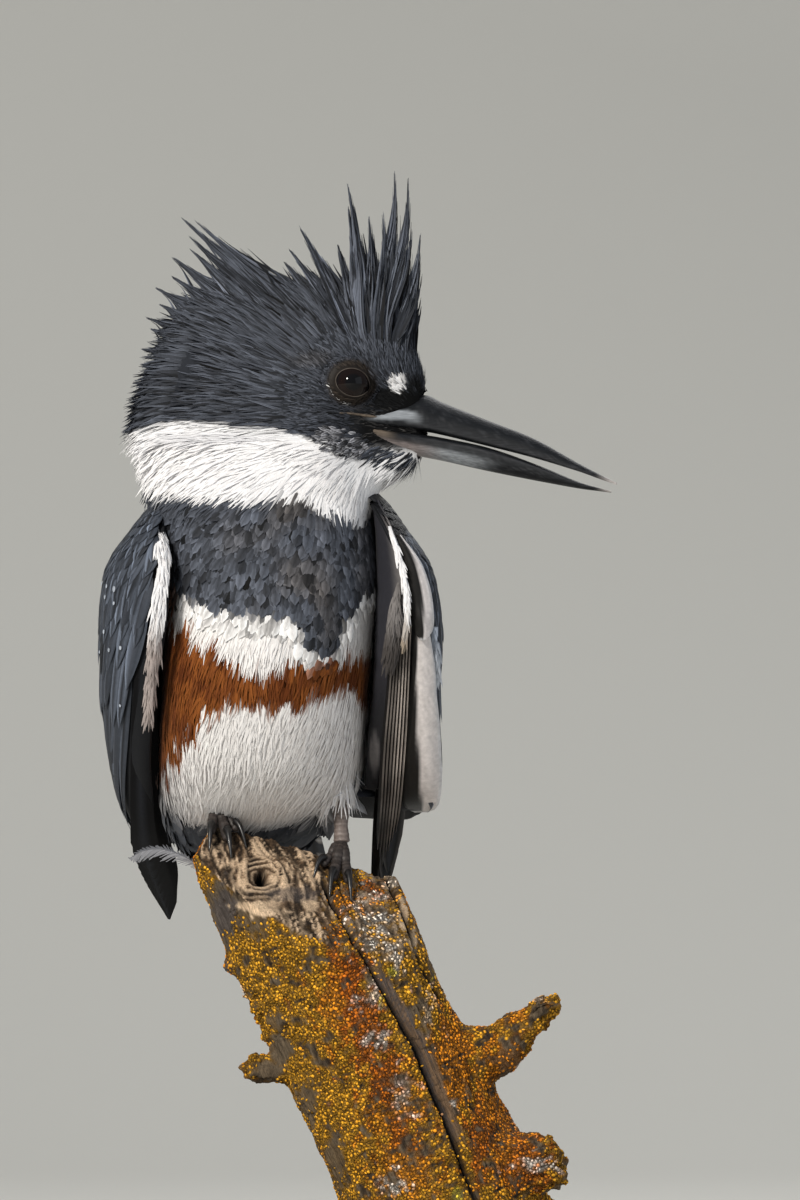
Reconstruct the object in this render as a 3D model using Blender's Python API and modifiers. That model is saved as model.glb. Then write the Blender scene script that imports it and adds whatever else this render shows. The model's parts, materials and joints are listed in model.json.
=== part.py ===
"""A life-size female belted kingfisher on a cut length of branch, held by a plain display stand.

Metres, +Z up. The origin is the centre of the stand's underside. The bird's breast faces -Y, its bill
points to +X and its tail hangs behind the branch, towards +Y.
"""

import math

import bmesh
import bpy
from mathutils import Matrix, Vector

MM = 0.001
GAP = 0.35 * MM                      # clearance between pieces that meet
SHARP = math.radians(40)             # edges sharper than this stay crisp

# --- stand and branch -------------------------------------------------------------------------------
BASE_RADIUS = 75 * MM
BASE_THICK = 14 * MM
BASE_EDGE = 2.5 * MM
BASE_SIDES = 48
ROD_RADIUS = 4.5 * MM
ROD_SHIFT = 2 * MM                            # the rod stands this far inward of the branch's centre
ROD_SIDES = 24
BRANCH_RADIUS = (26.8 * MM, 24.0 * MM)        # at the foot and at the broken top
BRANCH_RINGS, BRANCH_SIDES = 11, 20
BRANCH_SPARE = (30 * MM, 25 * MM)             # made longer by this at its foot and top, then cut
BRANCH_FOOT = Vector((31.3, 5, 49)) * MM      # centre of the branch's sawn lower end
BRANCH_HEAD = Vector((-18.6, 1, 161)) * MM    # where its axis leaves the broken top
RIDGE_POINT = Vector((-13.6, 7, 152.7)) * MM  # the broken top is a ridge through this point
RIDGE_FALL = -0.30                            # the ridge drops towards +X
FRONT_RISE = 0.74                             # the break rises from the front rim to the ridge
BACK_FALL = -0.95                             # and drops again behind it
CORNER_POINT = Vector((-38.5, 7, 153)) * MM   # the ridge's high end is chipped off aslant here
CORNER_NORMAL = Vector((-0.84, 0, 0.54))
# broken side branches: root, bend and end, and the radius at each, in millimetres
BRANCH_STUBS = (
    ((14, 4, 90), (44, 1, 97), (57, -1, 108.5), (13, 7.5, 6.3)),
    ((20, 2, 66), (48, -2, 64), (60.5, -3, 67.5), (18, 11.0, 7.0)),
    ((4, 3, 97), (-16, 1, 92), (-26.0, 0, 92.5), (11, 4.5, 3.2)),
)

# --- bird ---------------------------------------------------------------------------------------------
MIDLINE_X = -18.6 * MM                        # where the body's middle plane crosses the frame
BODY_YAW = math.radians(-5)                   # the breast turns a little to the bird's right
HEAD_YAW = math.radians(-8)                   # the bill comes a little forward of +X
HEAD_PIVOT = Vector((-20, 0, 0)) * MM

# height, lean to the side, half width, breast and back of the trunk, in millimetres about the middle plane
TRUNK = (
    (266, -3.0, 36.0, -22, 20),
    (250, -2.9, 34.0, -26, 23),
    (240, -1.4, 31.5, -29, 26),
    (226, 0.5, 31.0, -31.5, 30),
    (202, -1.5, 30.5, -32, 38),
    (178, -4.0, 30.0, -22, 45),
    (165, -6.0, 28.0, -8, 49),
    (156, -9.5, 22.0, 8, 50),
    (146, -12.0, 9.0, 27, 46),
)
TRUNK_RINGS = 26
TRUNK_SIDES = 32
TRUNK_FULLNESS = 0.92                         # under 1 squares off the oval cross-section
FLESH_VOXEL = 2.0 * MM                        # the trunk and head are remeshed into one form at this fineness
FLESH_SMOOTHING = (0.6, 8)                    # strength and rounds of smoothing after that
FLESH_KEPT_SHARE = 0.065                      # and then thinned to this share of their faces

# place along the head, underside, top of the crown and half width, in millimetres
HEAD = (
    (26.0, 260, 276, 5.5),
    (21.5, 255, 292, 10.5),
    (13.0, 250, 305, 14.0),
    (-4.0, 247, 309, 17.0),
    (-22.0, 247, 309, 18.0),
    (-38.0, 250, 307, 16.0),
    (-50.0, 255, 291, 12.5),
    (-58.0, 262, 272, 4.0),
)
HEAD_RINGS = 22
HEAD_SIDES = 24
CROWN_NARROWING = 0.55                        # how much thinner the crest is than the cheeks

EYE_RADIUS = 5.3 * MM
EYE_SINK = 2.9 * MM
EYE_X, EYE_Z = 3.6 * MM, 279.3 * MM

# the crest's long feathers: foot and tip along the head and up, half width, and lean out of the middle plane
CREST_SPIKES = (
    (19.0, 292, 24.0, 318, 3.0, 0.0),
    (17.0, 297, 20.5, 335, 3.6, 1.5),
    (12.0, 298, 15.5, 337.5, 3.8, -1.5),
    (6.0, 300, 12.0, 325, 4.0, 2.5),
    (1.0, 300, 3.5, 333.5, 4.2, 0.5),
    (-5.0, 300, -1.0, 317, 4.2, -2.5),
    (-4.0, 300, -10.0, 322, 4.4, 1.5),
    (-14.0, 300, -18.0, 313, 4.6, -1.0),
    (-24.0, 300, -42.0, 324, 5.6, 0.0),
    (-33.0, 296, -50.0, 309, 5.2, 2.5),
    (-36.0, 290, -54.5, 297, 5.2, -3.0),
    (-40.0, 281, -58.5, 285, 5.0, 2.5),
    (-44.0, 274, -60.5, 274, 4.6, -2.0),
)
SPIKE_SIDES = 6
SPIKE_TAPER = ((0.0, 1.0), (0.55, 0.7), (1.0, 0.07))   # share of its length, share of its width
SPIKE_FLATNESS = 0.75                         # a lock is this much thinner from side to side
SPIKE_ROOTING = 3 * MM                        # the locks' feet reach this far under the crest's cut

# bill: distance along the head's X, upper edge, lower edge and half width of each half, in millimetres
BILL_UPPER = (
    (14.0, 276.0, 267.6, 6.6),
    (24.0, 276.4, 266.4, 6.4),
    (29.0, 273.4, 264.6, 5.9),
    (41.0, 268.7, 261.7, 4.6),
    (53.5, 263.8, 258.5, 3.3),
    (65.5, 257.2, 254.9, 1.9),
    (72.0, 253.8, 252.6, 1.0),
    (76.3, 251.7, 251.2, 0.35),
)
BILL_LOWER = (
    (12.5, 266.7, 260.4, 5.8),
    (20.5, 265.4, 259.4, 5.9),
    (29.0, 263.1, 257.6, 5.3),
    (41.0, 259.9, 254.9, 4.2),
    (53.5, 256.0, 252.4, 3.0),
    (65.5, 252.1, 250.2, 1.7),
    (71.5, 250.3, 249.4, 0.9),
    (74.8, 249.4, 249.0, 0.35),
)
BILL_SIDES = 10
BILL_RINGS = 11
BILL_ARCH = 0.8                               # under 1 rounds the arch of the keel side
BILL_BITE = 0.35                              # share of the arch's height that the biting side bulges
BILL_KEEL = 0.35                              # how much narrower the section is at its keel

# folded wing: height, front edge (out, back), widest (out, back), rear edge (out, back), in millimetres
WING_RIGHT = (
    (246, (28.0, -11), (31.0, 2), (19, 22)),
    (238, (27.8, -21), (37.4, 2), (16, 28)),
    (228, (25.5, -24), (44.2, 3), (12, 34)),
    (212, (26.6, -23), (46.4, 8), (9, 41)),
    (194, (30.2, -16), (46.2, 14), (7, 48)),
    (176, (33.0, -2), (44.4, 23), (7, 56)),
    (163, (33.7, 13), (42.8, 35), (10, 63)),
    (154, (33.3, 27), (40.8, 48), (16, 68)),
)
WING_LEFT = (
    (248, (27.5, -8), (28.8, 3), (19, 22)),
    (239, (33.4, -16), (34.6, 2), (16, 28)),
    (228, (37.2, -18), (41.4, 0), (12, 34)),
    (212, (37.2, -16), (44.2, 2), (9, 41)),
    (194, (35.2, -8), (43.5, 7), (7, 48)),
    (176, (32.7, 4), (44.0, 14), (7, 56)),
    (165, (31.2, 15), (42.5, 24), (10, 63)),
    (161, (32.0, 22), (38.5, 36), (16, 66)),
)
WING_RINGS = 6                                # rows in each of its two solids
WING_CHORD = 8
WING_THICK = (6.5 * MM, 3.0 * MM)             # at the shoulder and at the feather ends
COVERT_END = 0.52                             # how far down the wing the coverts reach

# the stacked long feathers of the hand, under each wing: height, out, back, half thickness, half depth
HAND_RIGHT = (
    (214, 31.5, -17, 1.8, 5.0),
    (196, 33.6, -10, 2.2, 7.5),
    (178, 35.3, 4, 2.5, 9.5),
    (160, 35.4, 22, 3.2, 10.0),
    (148, 33.2, 42, 5.4, 8.5),
    (140, 33.9, 56, 4.3, 7.0),
    (131, 35.2, 72, 0.7, 2.0),
)
HAND_LEFT = (
    (214, 36.2, -14, 1.8, 5.0),
    (196, 35.2, -6, 2.6, 7.5),
    (178, 32.7, 6, 3.2, 9.5),
    (165, 30.6, 18, 3.4, 10.0),
    (146, 26.7, 45, 2.6, 9.0),
    (136, 24.6, 60, 2.0, 6.5),
    (131, 23.4, 72, 0.7, 2.0),
)
HAND_RINGS = 10
HAND_SIDES = 8

TAIL_ROOT = Vector((0, 46, 155)) * MM
TAIL_LENGTH = 88 * MM
TAIL_PITCH = math.radians(38)
TAIL_HALF_WIDTH = (8.5 * MM, 13.0 * MM)
TAIL_THICK = (5.0 * MM, 1.2 * MM)
TAIL_FEATHERS = 6                             # feather ends that show in all
TAIL_RINGS = 5
TAIL_ROUNDING = 9 * MM                        # how much shorter the outer feathers are
TAIL_NOTCH = 1.1 * MM                         # between two feather ends
TAIL_ARCH = 2.6 * MM                          # the middle feathers ride over the outer ones

# feet: where each stands, how far back the ankle is, and the heading of the front toes in degrees
LEGS = {
    "right": {"foot": (-34.0, 11.0), "ankle": (-33.5, 12.0, 166), "thigh": (-33.0, 14.0, 176), "turn": 10},
    "left": {"foot": (0.5, 8.0), "ankle": (0.0, 9.0, 163), "thigh": (-2.5, 9.0, 176), "turn": -6},
}
TOE_RADIUS = 1.55 * MM
# along each toe: share of its length, height of its arch in millimetres, and thickness
TOE_PROFILE = ((0, 1.6, 1.1), (0.35, 0.9, 1.06), (0.7, 0.4, 0.95), (1, 0.0, 0.8))
# each toe: name, heading from straight ahead in degrees, length in millimetres, and thickness
TOES = (
    ("inner", -30, 9.0, 0.85),
    ("middle", -6, 12.0, 1.0),
    ("outer", 16, 11.0, 0.95),
    ("hind", 176, 5.0, 0.9),
)
CLAW_LENGTH = 5.6 * MM
CLAW_START = 1.7 * MM                         # past the toe's end, whose face leans on the sloping wood
CLAW_STEPS = 4
CLAW_ARCH = 1.3 * MM
CLAW_RISE = 1.05                              # its root is at this many toe radii over the wood
CLAW_CLEARANCE = 0.2 * MM
CLAW_RADIUS = 1.05 * MM                       # at its root
CLAW_TAPER = 0.9 * MM                         # and this much thinner at its point
TARSUS_RADIUS = 2.1 * MM
TARSUS_PROFILE = (1.15, 0.95, 1.25, 1.5)      # its thickness at the sole, middle, ankle and thigh
SOLE_LIFT = 2.0 * MM                          # the leg's axis ends this far over the sole

COLOURS = {
    "slate": ((0.10, 0.13, 0.17), 0.75),
    "white": ((0.80, 0.80, 0.78), 0.80),
    "black": ((0.02, 0.02, 0.025), 0.45),
    "horn": ((0.03, 0.032, 0.035), 0.35),
    "eye": ((0.01, 0.008, 0.007), 0.05),
    "skin": ((0.05, 0.04, 0.038), 0.6),
    "bark": ((0.42, 0.22, 0.05), 0.9),
    "stand": ((0.03, 0.03, 0.03), 0.4),
    "steel": ((0.5, 0.5, 0.5), 0.3),
}


def material(name):
    """The named finish, made once."""
    found = bpy.data.materials.get(name)
    if found:
        return found
    colour, roughness = COLOURS[name]
    made = bpy.data.materials.new(name)
    made.use_nodes = True
    shader = made.node_tree.nodes["Principled BSDF"]
    shader.inputs["Base Color"].default_value = (*colour, 1)
    shader.inputs["Roughness"].default_value = roughness
    shader.inputs["Metallic"].default_value = 1.0 if name == "steel" else 0.0
    return made


def new_object(name, bm, finish):
    """A mesh object in the scene from a bmesh, which is freed."""
    bmesh.ops.recalc_face_normals(bm, faces=bm.faces)
    mesh = bpy.data.meshes.new(name)
    bm.to_mesh(mesh)
    bm.free()
    mesh.shade_smooth()
    mesh.set_sharp_from_angle(angle=SHARP)
    made = bpy.data.objects.new(name, mesh)
    made.data.materials.append(material(finish))
    bpy.context.scene.collection.objects.link(made)
    return made


def evaluated_copy(source, name):
    """A plain mesh object with source's modifiers or curve bevel applied; source is removed."""
    graph = bpy.context.evaluated_depsgraph_get()
    mesh = bpy.data.meshes.new_from_object(source.evaluated_get(graph))
    finish = source.data.materials[0] if source.data.materials else None
    mesh.transform(source.matrix_world)
    if source.type == "CURVE":
        bm = bmesh.new()
        bm.from_mesh(mesh)
        bmesh.ops.remove_doubles(bm, verts=bm.verts, dist=0.01 * MM)
        bm.to_mesh(mesh)
        bm.free()
    bpy.data.objects.remove(source)
    mesh.name = name
    made = bpy.data.objects.new(name, mesh)
    if finish and not made.data.materials:
        made.data.materials.append(finish)
    bpy.context.scene.collection.objects.link(made)
    return made


def boolean(target, other, operation):
    """target changed by other, with the result as a plain mesh of the same name.

    The soft forms fold over themselves a little where they are grown into cutters, and the exact solver
    then returns nothing, so these cuts use the manifold solver.
    """
    name = target.name
    change = target.modifiers.new("cut", "BOOLEAN")
    change.operation = operation
    change.solver = "MANIFOLD"
    change.object = other
    bpy.context.view_layer.update()
    target.name = name + "_before"
    made = evaluated_copy(target, name)
    bpy.data.objects.remove(other)
    return made


def smooth_stations(stations, count, start=0.0, end=1.0):
    """Catmull-Rom rows through a stretch of the stations, so that a few of them give a smooth outline."""

    def flat(row):
        for item in row:
            if isinstance(item, tuple):
                yield from item
            else:
                yield item

    rows = [list(flat(row)) for row in stations]
    rows = [rows[0], *rows, rows[-1]]
    spans = len(rows) - 3
    out = []
    for i in range(count):
        t = (start + (end - start) * i / (count - 1)) * spans
        k = min(int(t), spans - 1)
        u = t - k
        a, b, c, d = rows[k:k + 4]
        out.append([
            q + 0.5 * u * (r - p + u * (2 * p - 5 * q + 4 * r - s + u * (3 * q - p - 3 * r + s)))
            for p, q, r, s in zip(a, b, c, d)
        ])
    return out


def loft(name, rings, finish):
    """A closed solid through rings of points, with a fan over each end."""
    bm = bmesh.new()
    rows = [[bm.verts.new(point) for point in ring] for ring in rings]
    sides = len(rows[0])
    for low, high in zip(rows, rows[1:]):
        for i in range(sides):
            j = (i + 1) % sides
            bm.faces.new((low[i], low[j], high[j], high[i]))
    for row in (rows[0], rows[-1]):
        middle = bm.verts.new(sum((v.co for v in row), Vector()) / sides)
        for i in range(sides):
            bm.faces.new((row[i], row[(i + 1) % sides], middle))
    return new_object(name, bm, finish)


def about_midline(point):
    """A point given about the body's middle plane, turned and moved into the frame."""
    turned = Matrix.Rotation(BODY_YAW, 3, "Z") @ Vector(point)
    return turned + Vector((MIDLINE_X, 0, 0))


def about_head(point):
    """A point given with the bill straight along +X, turned by the head's yaw."""
    return Matrix.Rotation(HEAD_YAW, 3, "Z") @ (Vector(point) - HEAD_PIVOT) + HEAD_PIVOT


def inflated(source, margin):
    """A copy of source grown outwards along its normals, to cut a neighbour with clearance."""
    mesh = source.data.copy()
    bm = bmesh.new()
    bm.from_mesh(mesh)
    bm.normal_update()
    moves = [v.normal * margin for v in bm.verts]
    for v, move in zip(bm.verts, moves):
        v.co += move
    bm.to_mesh(mesh)
    bm.free()
    made = bpy.data.objects.new("cutter", mesh)
    made.hide_render = True
    made.display_type = "WIRE"
    bpy.context.scene.collection.objects.link(made)
    return made


# --- body ---------------------------------------------------------------------------------------------
def trunk_ring(z, lean, half, front, back):
    """A rounded cross-section of the trunk, fuller at the breast than at the back."""
    middle = (front + back) / 2
    depth = (back - front) / 2
    ring = []
    for i in range(TRUNK_SIDES):
        angle = 2 * math.pi * i / TRUNK_SIDES
        across, along = math.cos(angle), math.sin(angle)
        x = lean + math.copysign(abs(across) ** TRUNK_FULLNESS, across) * half
        y = middle + math.copysign(abs(along) ** TRUNK_FULLNESS, along) * depth
        ring.append(about_midline((x * MM, y * MM, z * MM)))
    return ring


def head_half_width(width, share):
    """Half width of the head at a share of its height: fullest at the cheeks, thin at the crest."""
    round_off = math.sqrt(max(0.0, 1 - (2 * share - 1) ** 2)) ** 0.9
    return width * round_off * (1 - CROWN_NARROWING * share ** 1.5)


def head_ring(x, low, high, width):
    """An upright section of the head and crest."""
    ring = []
    for i in range(HEAD_SIDES):
        angle = 2 * math.pi * i / HEAD_SIDES
        share = (1 - math.cos(angle)) / 2
        side = 1 if angle < math.pi else -1
        y = side * head_half_width(width, share)
        ring.append(about_head((x * MM, y * MM, (low + (high - low) * share) * MM)))
    return ring


def whole_body():
    """Trunk, neck and head as one soft form."""
    trunk = loft("flesh", [trunk_ring(*row) for row in smooth_stations(TRUNK, TRUNK_RINGS)], "slate")
    head = loft("head_form", [head_ring(*row) for row in smooth_stations(HEAD, HEAD_RINGS)], "slate")
    trunk = boolean(trunk, head, "UNION")
    remesh = trunk.modifiers.new("remesh", "REMESH")
    remesh.mode = "VOXEL"
    remesh.voxel_size = FLESH_VOXEL
    smooth = trunk.modifiers.new("smooth", "SMOOTH")
    smooth.factor, smooth.iterations = FLESH_SMOOTHING
    fewer = trunk.modifiers.new("fewer", "DECIMATE")
    fewer.ratio = FLESH_KEPT_SHARE
    trunk.name = "flesh_before"
    return evaluated_copy(trunk, "flesh")


def kept_side(source, name, planes, finish):
    """The part of source on the inner side of each plane (point, outward normal), with closed cuts."""
    bm = bmesh.new()
    bm.from_mesh(source.data)
    for point, normal in planes:
        geometry = bm.verts[:] + bm.edges[:] + bm.faces[:]
        cut = bmesh.ops.bisect_plane(
            bm, geom=geometry, dist=1e-7, plane_co=point, plane_no=normal, clear_outer=True
        )["geom_cut"]
        edges = [e for e in cut if isinstance(e, bmesh.types.BMEdge)]
        bmesh.ops.triangle_fill(bm, edges=edges, use_beauty=True, use_dissolve=False)
    return new_object(name, bm, finish)


def cut_plane(x0, z0, x1, z1):
    """A plane seen edge-on along Y through two points, as (point, normal pointing up)."""
    start = Vector((x0, 0, z0)) * MM
    along = Vector((x1 - x0, 0, z1 - z0)).normalized()
    return start, Vector((-along.z, 0, along.x))


def lowered(plane, amount):
    """The plane moved down against its normal."""
    return plane[0] - plane[1] * amount, plane[1]


def upside_down(plane):
    """The plane with its other side kept."""
    return plane[0], -plane[1]


CREST_CUT = cut_plane(-60, 273, 26, 291)
JAW_CUT = cut_plane(-60, 266, 16, 251)
COLLAR_CUT = cut_plane(-52, 243, 16, 238)


def crest_spike(foot_x, foot_z, tip_x, tip_z, half, lean):
    """A long tapering feather lock: an oval, pointed loft that narrows to its tip."""
    foot = Vector((foot_x, 0, foot_z)) * MM
    tip = Vector((tip_x, lean, tip_z)) * MM
    along = (tip - foot).normalized()
    across = along.cross(Vector((0, 1, 0))).normalized()
    rings = []
    for share, width in SPIKE_TAPER:
        centre = foot.lerp(tip, share)
        ring = []
        for i in range(SPIKE_SIDES):
            angle = 2 * math.pi * i / SPIKE_SIDES
            offset = across * math.cos(angle) * half * width * MM
            offset += Vector((0, 1, 0)) * math.sin(angle) * half * SPIKE_FLATNESS * width * MM
            ring.append(about_head(centre + offset))
        rings.append(ring)
    return loft("spike", rings, "slate")


def head_parts(flesh):
    """Crest, head, neck and trunk, parted from the whole by thin cuts."""
    crest = kept_side(flesh, "crest_whole", [upside_down(lowered(CREST_CUT, SPIKE_ROOTING))], "slate")
    head = kept_side(flesh, "head", [lowered(CREST_CUT, GAP), upside_down(JAW_CUT)], "slate")
    neck = kept_side(flesh, "neck", [lowered(JAW_CUT, GAP), upside_down(COLLAR_CUT)], "white")
    trunk = kept_side(flesh, "trunk", [lowered(COLLAR_CUT, GAP)], "white")
    bpy.data.objects.remove(flesh)
    for row in CREST_SPIKES:
        crest = boolean(crest, crest_spike(*row), "UNION")
    kept_side(crest, "crest", [upside_down(CREST_CUT)], "slate")
    bpy.data.objects.remove(crest)
    return head, neck, trunk


def eye_place(side):
    """Centre of the eye on one side of the head, sunk a little below its surface."""
    rows = smooth_stations(HEAD, 60)
    x, low, high, width = min(rows, key=lambda row: abs(row[0] * MM - EYE_X))
    share = (EYE_Z / MM - low) / (high - low)
    y = side * (head_half_width(width, share) * MM - EYE_SINK)
    return about_head((EYE_X, y, EYE_Z))


def eyes(head):
    """Both eyes, each in a socket cut in the head. The bird's right side is towards -Y."""
    for name, side in (("eye_right", -1), ("eye_left", 1)):
        bm = bmesh.new()
        bmesh.ops.create_uvsphere(bm, u_segments=12, v_segments=8, radius=EYE_RADIUS)
        bmesh.ops.rotate(bm, verts=bm.verts, matrix=Matrix.Rotation(math.pi / 2, 3, "X"))
        bmesh.ops.translate(bm, verts=bm.verts, vec=eye_place(side))
        eye = new_object(name, bm, "eye")
        head = boolean(head, inflated(eye, GAP), "DIFFERENCE")
    return head


def bill_half(name, rows, upper):
    """One half of the bill: a keeled section, with its flat side to the other half."""
    rings = []
    for x, top, bottom, half in smooth_stations(rows, BILL_RINGS):
        ring = []
        for i in range(BILL_SIDES):
            angle = 2 * math.pi * i / BILL_SIDES
            across, up = math.cos(angle), math.sin(angle)
            if not upper:
                up = -up
            # the keel side is a pointed arch, and the biting side is nearly flat
            reach = up ** BILL_ARCH if up > 0 else -BILL_BITE * abs(up) ** 0.5
            share = (reach + BILL_BITE) / (1 + BILL_BITE)
            z = bottom + (top - bottom) * (share if upper else 1 - share)
            keel = 1 - BILL_KEEL * max(0.0, up) ** 2
            ring.append(about_head((x * MM, across * half * keel * MM, z * MM)))
        rings.append(ring)
    return loft(name, rings, "horn")


# --- wings --------------------------------------------------------------------------------------------
def wing_row(row, side, depth):
    """Points across the wing from front edge to rear edge, at a depth under its outer surface."""
    z, front_out, front_y, wide_out, wide_y, rear_out, rear_y = row
    # the control point that makes a quadratic arc pass through the widest point at its middle
    bend = (2 * wide_out - (front_out + rear_out) / 2, 2 * wide_y - (front_y + rear_y) / 2)
    points = []
    for i in range(WING_CHORD + 1):
        t = i / WING_CHORD
        a, b, c = (1 - t) ** 2, 2 * t * (1 - t), t * t
        out = a * front_out + b * bend[0] + c * rear_out
        back = a * front_y + b * bend[1] + c * rear_y
        d_out = 2 * (1 - t) * (bend[0] - front_out) + 2 * t * (rear_out - bend[0])
        d_back = 2 * (1 - t) * (bend[1] - front_y) + 2 * t * (rear_y - bend[1])
        length = math.hypot(d_out, d_back)
        edge = math.sin(math.pi * min(1, max(0, 0.08 + 0.84 * t))) ** 0.6
        inward = Vector((-d_back, d_out)) / length * depth * edge
        points.append(about_midline((side * (out + inward.x) * MM, (back + inward.y) * MM, z * MM)))
    return points


def wing_slab(name, table, side, start, end):
    """A stretch of the folded wing, as thick as its layered feathers."""
    top, bottom = table[0][0], table[-1][0]
    rings = []
    for row in smooth_stations(table, WING_RINGS, start, end):
        share = (top - row[0]) / (top - bottom)
        thick = (WING_THICK[0] + (WING_THICK[1] - WING_THICK[0]) * share) / MM
        outer = wing_row(row, side, 0)
        inner = wing_row(row, side, thick)
        rings.append(outer + inner[::-1])
    return loft(name, rings, "slate")


def hand_ring(z, out, back, thin, deep, side, grow):
    """A level oval section through the stacked feathers of the hand."""
    ring = []
    for i in range(HAND_SIDES):
        angle = 2 * math.pi * i / HAND_SIDES
        x = side * (out + math.cos(angle) * (thin + grow))
        y = back + math.sin(angle) * (deep + grow)
        ring.append(about_midline((x * MM, y * MM, z * MM)))
    return ring


def hand_feathers(name, side, grow=0.0):
    """The long feathers of one hand as a tapering blade, or a cutter that is larger by grow."""
    rows = smooth_stations(HAND_RIGHT if side < 0 else HAND_LEFT, HAND_RINGS)
    return loft(name, [hand_ring(*row, side, grow) for row in rows], "black")


def wings(trunk, neck):
    """Both folded wings: the long feathers of the hand lie under the arm's coverts and secondaries."""
    for label, side, table in (("right", -1, WING_RIGHT), ("left", 1, WING_LEFT)):
        hand = hand_feathers(f"wing_{label}_primaries", side)
        keep_largest(boolean(hand, inflated(trunk, GAP), "DIFFERENCE"))
        for part, start, end in (("coverts", 0, COVERT_END), ("secondaries", COVERT_END + 0.006, 1)):
            slab = wing_slab(f"wing_{label}_{part}", table, side, start, end)
            for other in (trunk, neck):
                slab = boolean(slab, inflated(other, GAP), "DIFFERENCE")
            slab = boolean(slab, hand_feathers("cutter", side, GAP / MM), "DIFFERENCE")
            keep_largest(slab)


def keep_largest(source):
    """Drops the crumbs that a cut can leave beside the main solid."""
    bm = bmesh.new()
    bm.from_mesh(source.data)
    left = set(bm.faces)
    groups = []
    while left:
        stack = [left.pop()]
        group = set(stack)
        while stack:
            face = stack.pop()
            for edge in face.edges:
                for near in edge.link_faces:
                    if near in left:
                        left.discard(near)
                        group.add(near)
                        stack.append(near)
        groups.append(group)
    largest = max(groups, key=lambda g: sum(f.calc_area() for f in g))
    crumbs = [f for g in groups if g is not largest for f in g]
    bmesh.ops.delete(bm, geom=crumbs, context="FACES")
    bm.to_mesh(source.data)
    bm.free()


# --- tail ---------------------------------------------------------------------------------------------
def tail(trunk):
    """The folded tail: a shallow fan whose end steps down from feather to feather."""
    along = Vector((0, math.cos(TAIL_PITCH), -math.sin(TAIL_PITCH)))
    up = Vector((0, math.sin(TAIL_PITCH), math.cos(TAIL_PITCH)))
    steps = 2 * TAIL_FEATHERS
    rings = []
    for row in range(TAIL_RINGS):
        share = row / (TAIL_RINGS - 1)
        half = TAIL_HALF_WIDTH[0] + (TAIL_HALF_WIDTH[1] - TAIL_HALF_WIDTH[0]) * share
        thick = TAIL_THICK[0] + (TAIL_THICK[1] - TAIL_THICK[0]) * share
        top, bottom = [], []
        for i in range(steps + 1):
            across = 2 * i / steps - 1
            notch = TAIL_NOTCH * share if i % 2 else 0.0
            reach = share * (TAIL_LENGTH - TAIL_ROUNDING * across * across) - notch
            roof = (1 - across * across) * TAIL_ARCH
            edge = thick * (0.35 + 0.65 * math.sqrt(max(0.0, 1 - across ** 2)))
            centre = TAIL_ROOT + along * reach + Vector((across * half, 0, 0)) + up * roof
            top.append(about_midline(centre + up * edge / 2))
            bottom.append(about_midline(centre - up * edge / 2))
        rings.append(top + bottom[::-1])
    made = loft("tail", rings, "slate")
    made = boolean(made, inflated(trunk, GAP), "DIFFERENCE")
    keep_largest(made)


# --- legs and feet ------------------------------------------------------------------------------------
def break_height(x, y):
    """Height of the branch's broken top at a place."""
    slope = FRONT_RISE if y < RIDGE_POINT.y else BACK_FALL
    return RIDGE_POINT.z + RIDGE_FALL * (x - RIDGE_POINT.x) + slope * (y - RIDGE_POINT.y)


def break_normals():
    """Upward normals of the two faces that meet in the ridge."""
    return [Vector((-RIDGE_FALL, -slope, 1)).normalized() for slope in (FRONT_RISE, BACK_FALL)]


def tube(name, points, radii, finish, sides_resolution=1):
    """A tapering round limb through a few points, as a mesh with closed ends."""
    curve = bpy.data.curves.new(name, "CURVE")
    curve.dimensions = "3D"
    curve.bevel_depth = 1.0
    curve.bevel_resolution = sides_resolution
    curve.use_fill_caps = True
    spline = curve.splines.new("POLY")
    spline.points.add(len(points) - 1)
    for spot, point, radius in zip(spline.points, points, radii):
        spot.co = (*point, 1)
        spot.radius = radius
    curve.materials.append(material(finish))
    made = bpy.data.objects.new(name + "_curve", curve)
    bpy.context.scene.collection.objects.link(made)
    bpy.context.view_layer.update()
    return evaluated_copy(made, name)


def on_break(x, y, lift):
    """A point whose distance from the broken top's slope is lift."""
    steep = math.hypot(1, max(FRONT_RISE, -BACK_FALL))
    return Vector((x, y, break_height(x, y) + lift * steep))


def toe_points(foot, heading, length, slim):
    """Centre line and radii of a toe that lies along the broken top with a raised knuckle."""
    radius = TOE_RADIUS * slim
    ahead = Vector((math.sin(heading), -math.cos(heading), 0))
    points, radii = [], []
    for share, rise, thick in TOE_PROFILE:
        spot = foot + ahead * length * share
        lift = radius * thick + GAP + rise * MM
        points.append(on_break(spot.x, spot.y, lift))
        radii.append(radius * thick)
    return points, radii


def claw(name, start, ahead):
    """A curved, pointed claw from a toe's end down onto the wood."""
    points, radii = [], []
    for step in range(CLAW_STEPS + 1):
        share = step / CLAW_STEPS
        place = start + ahead * CLAW_LENGTH * share
        arch = math.sin(math.pi * min(1.0, share + 0.25)) * CLAW_ARCH
        drop = CLAW_RISE * TOE_RADIUS * (1 - share) + CLAW_CLEARANCE + GAP
        points.append(on_break(place.x, place.y, drop * (1 - 0.55 * share) + arch * (1 - share)))
        radii.append(CLAW_RADIUS - CLAW_TAPER * share)
    return tube(name, points, radii, "horn")


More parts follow.
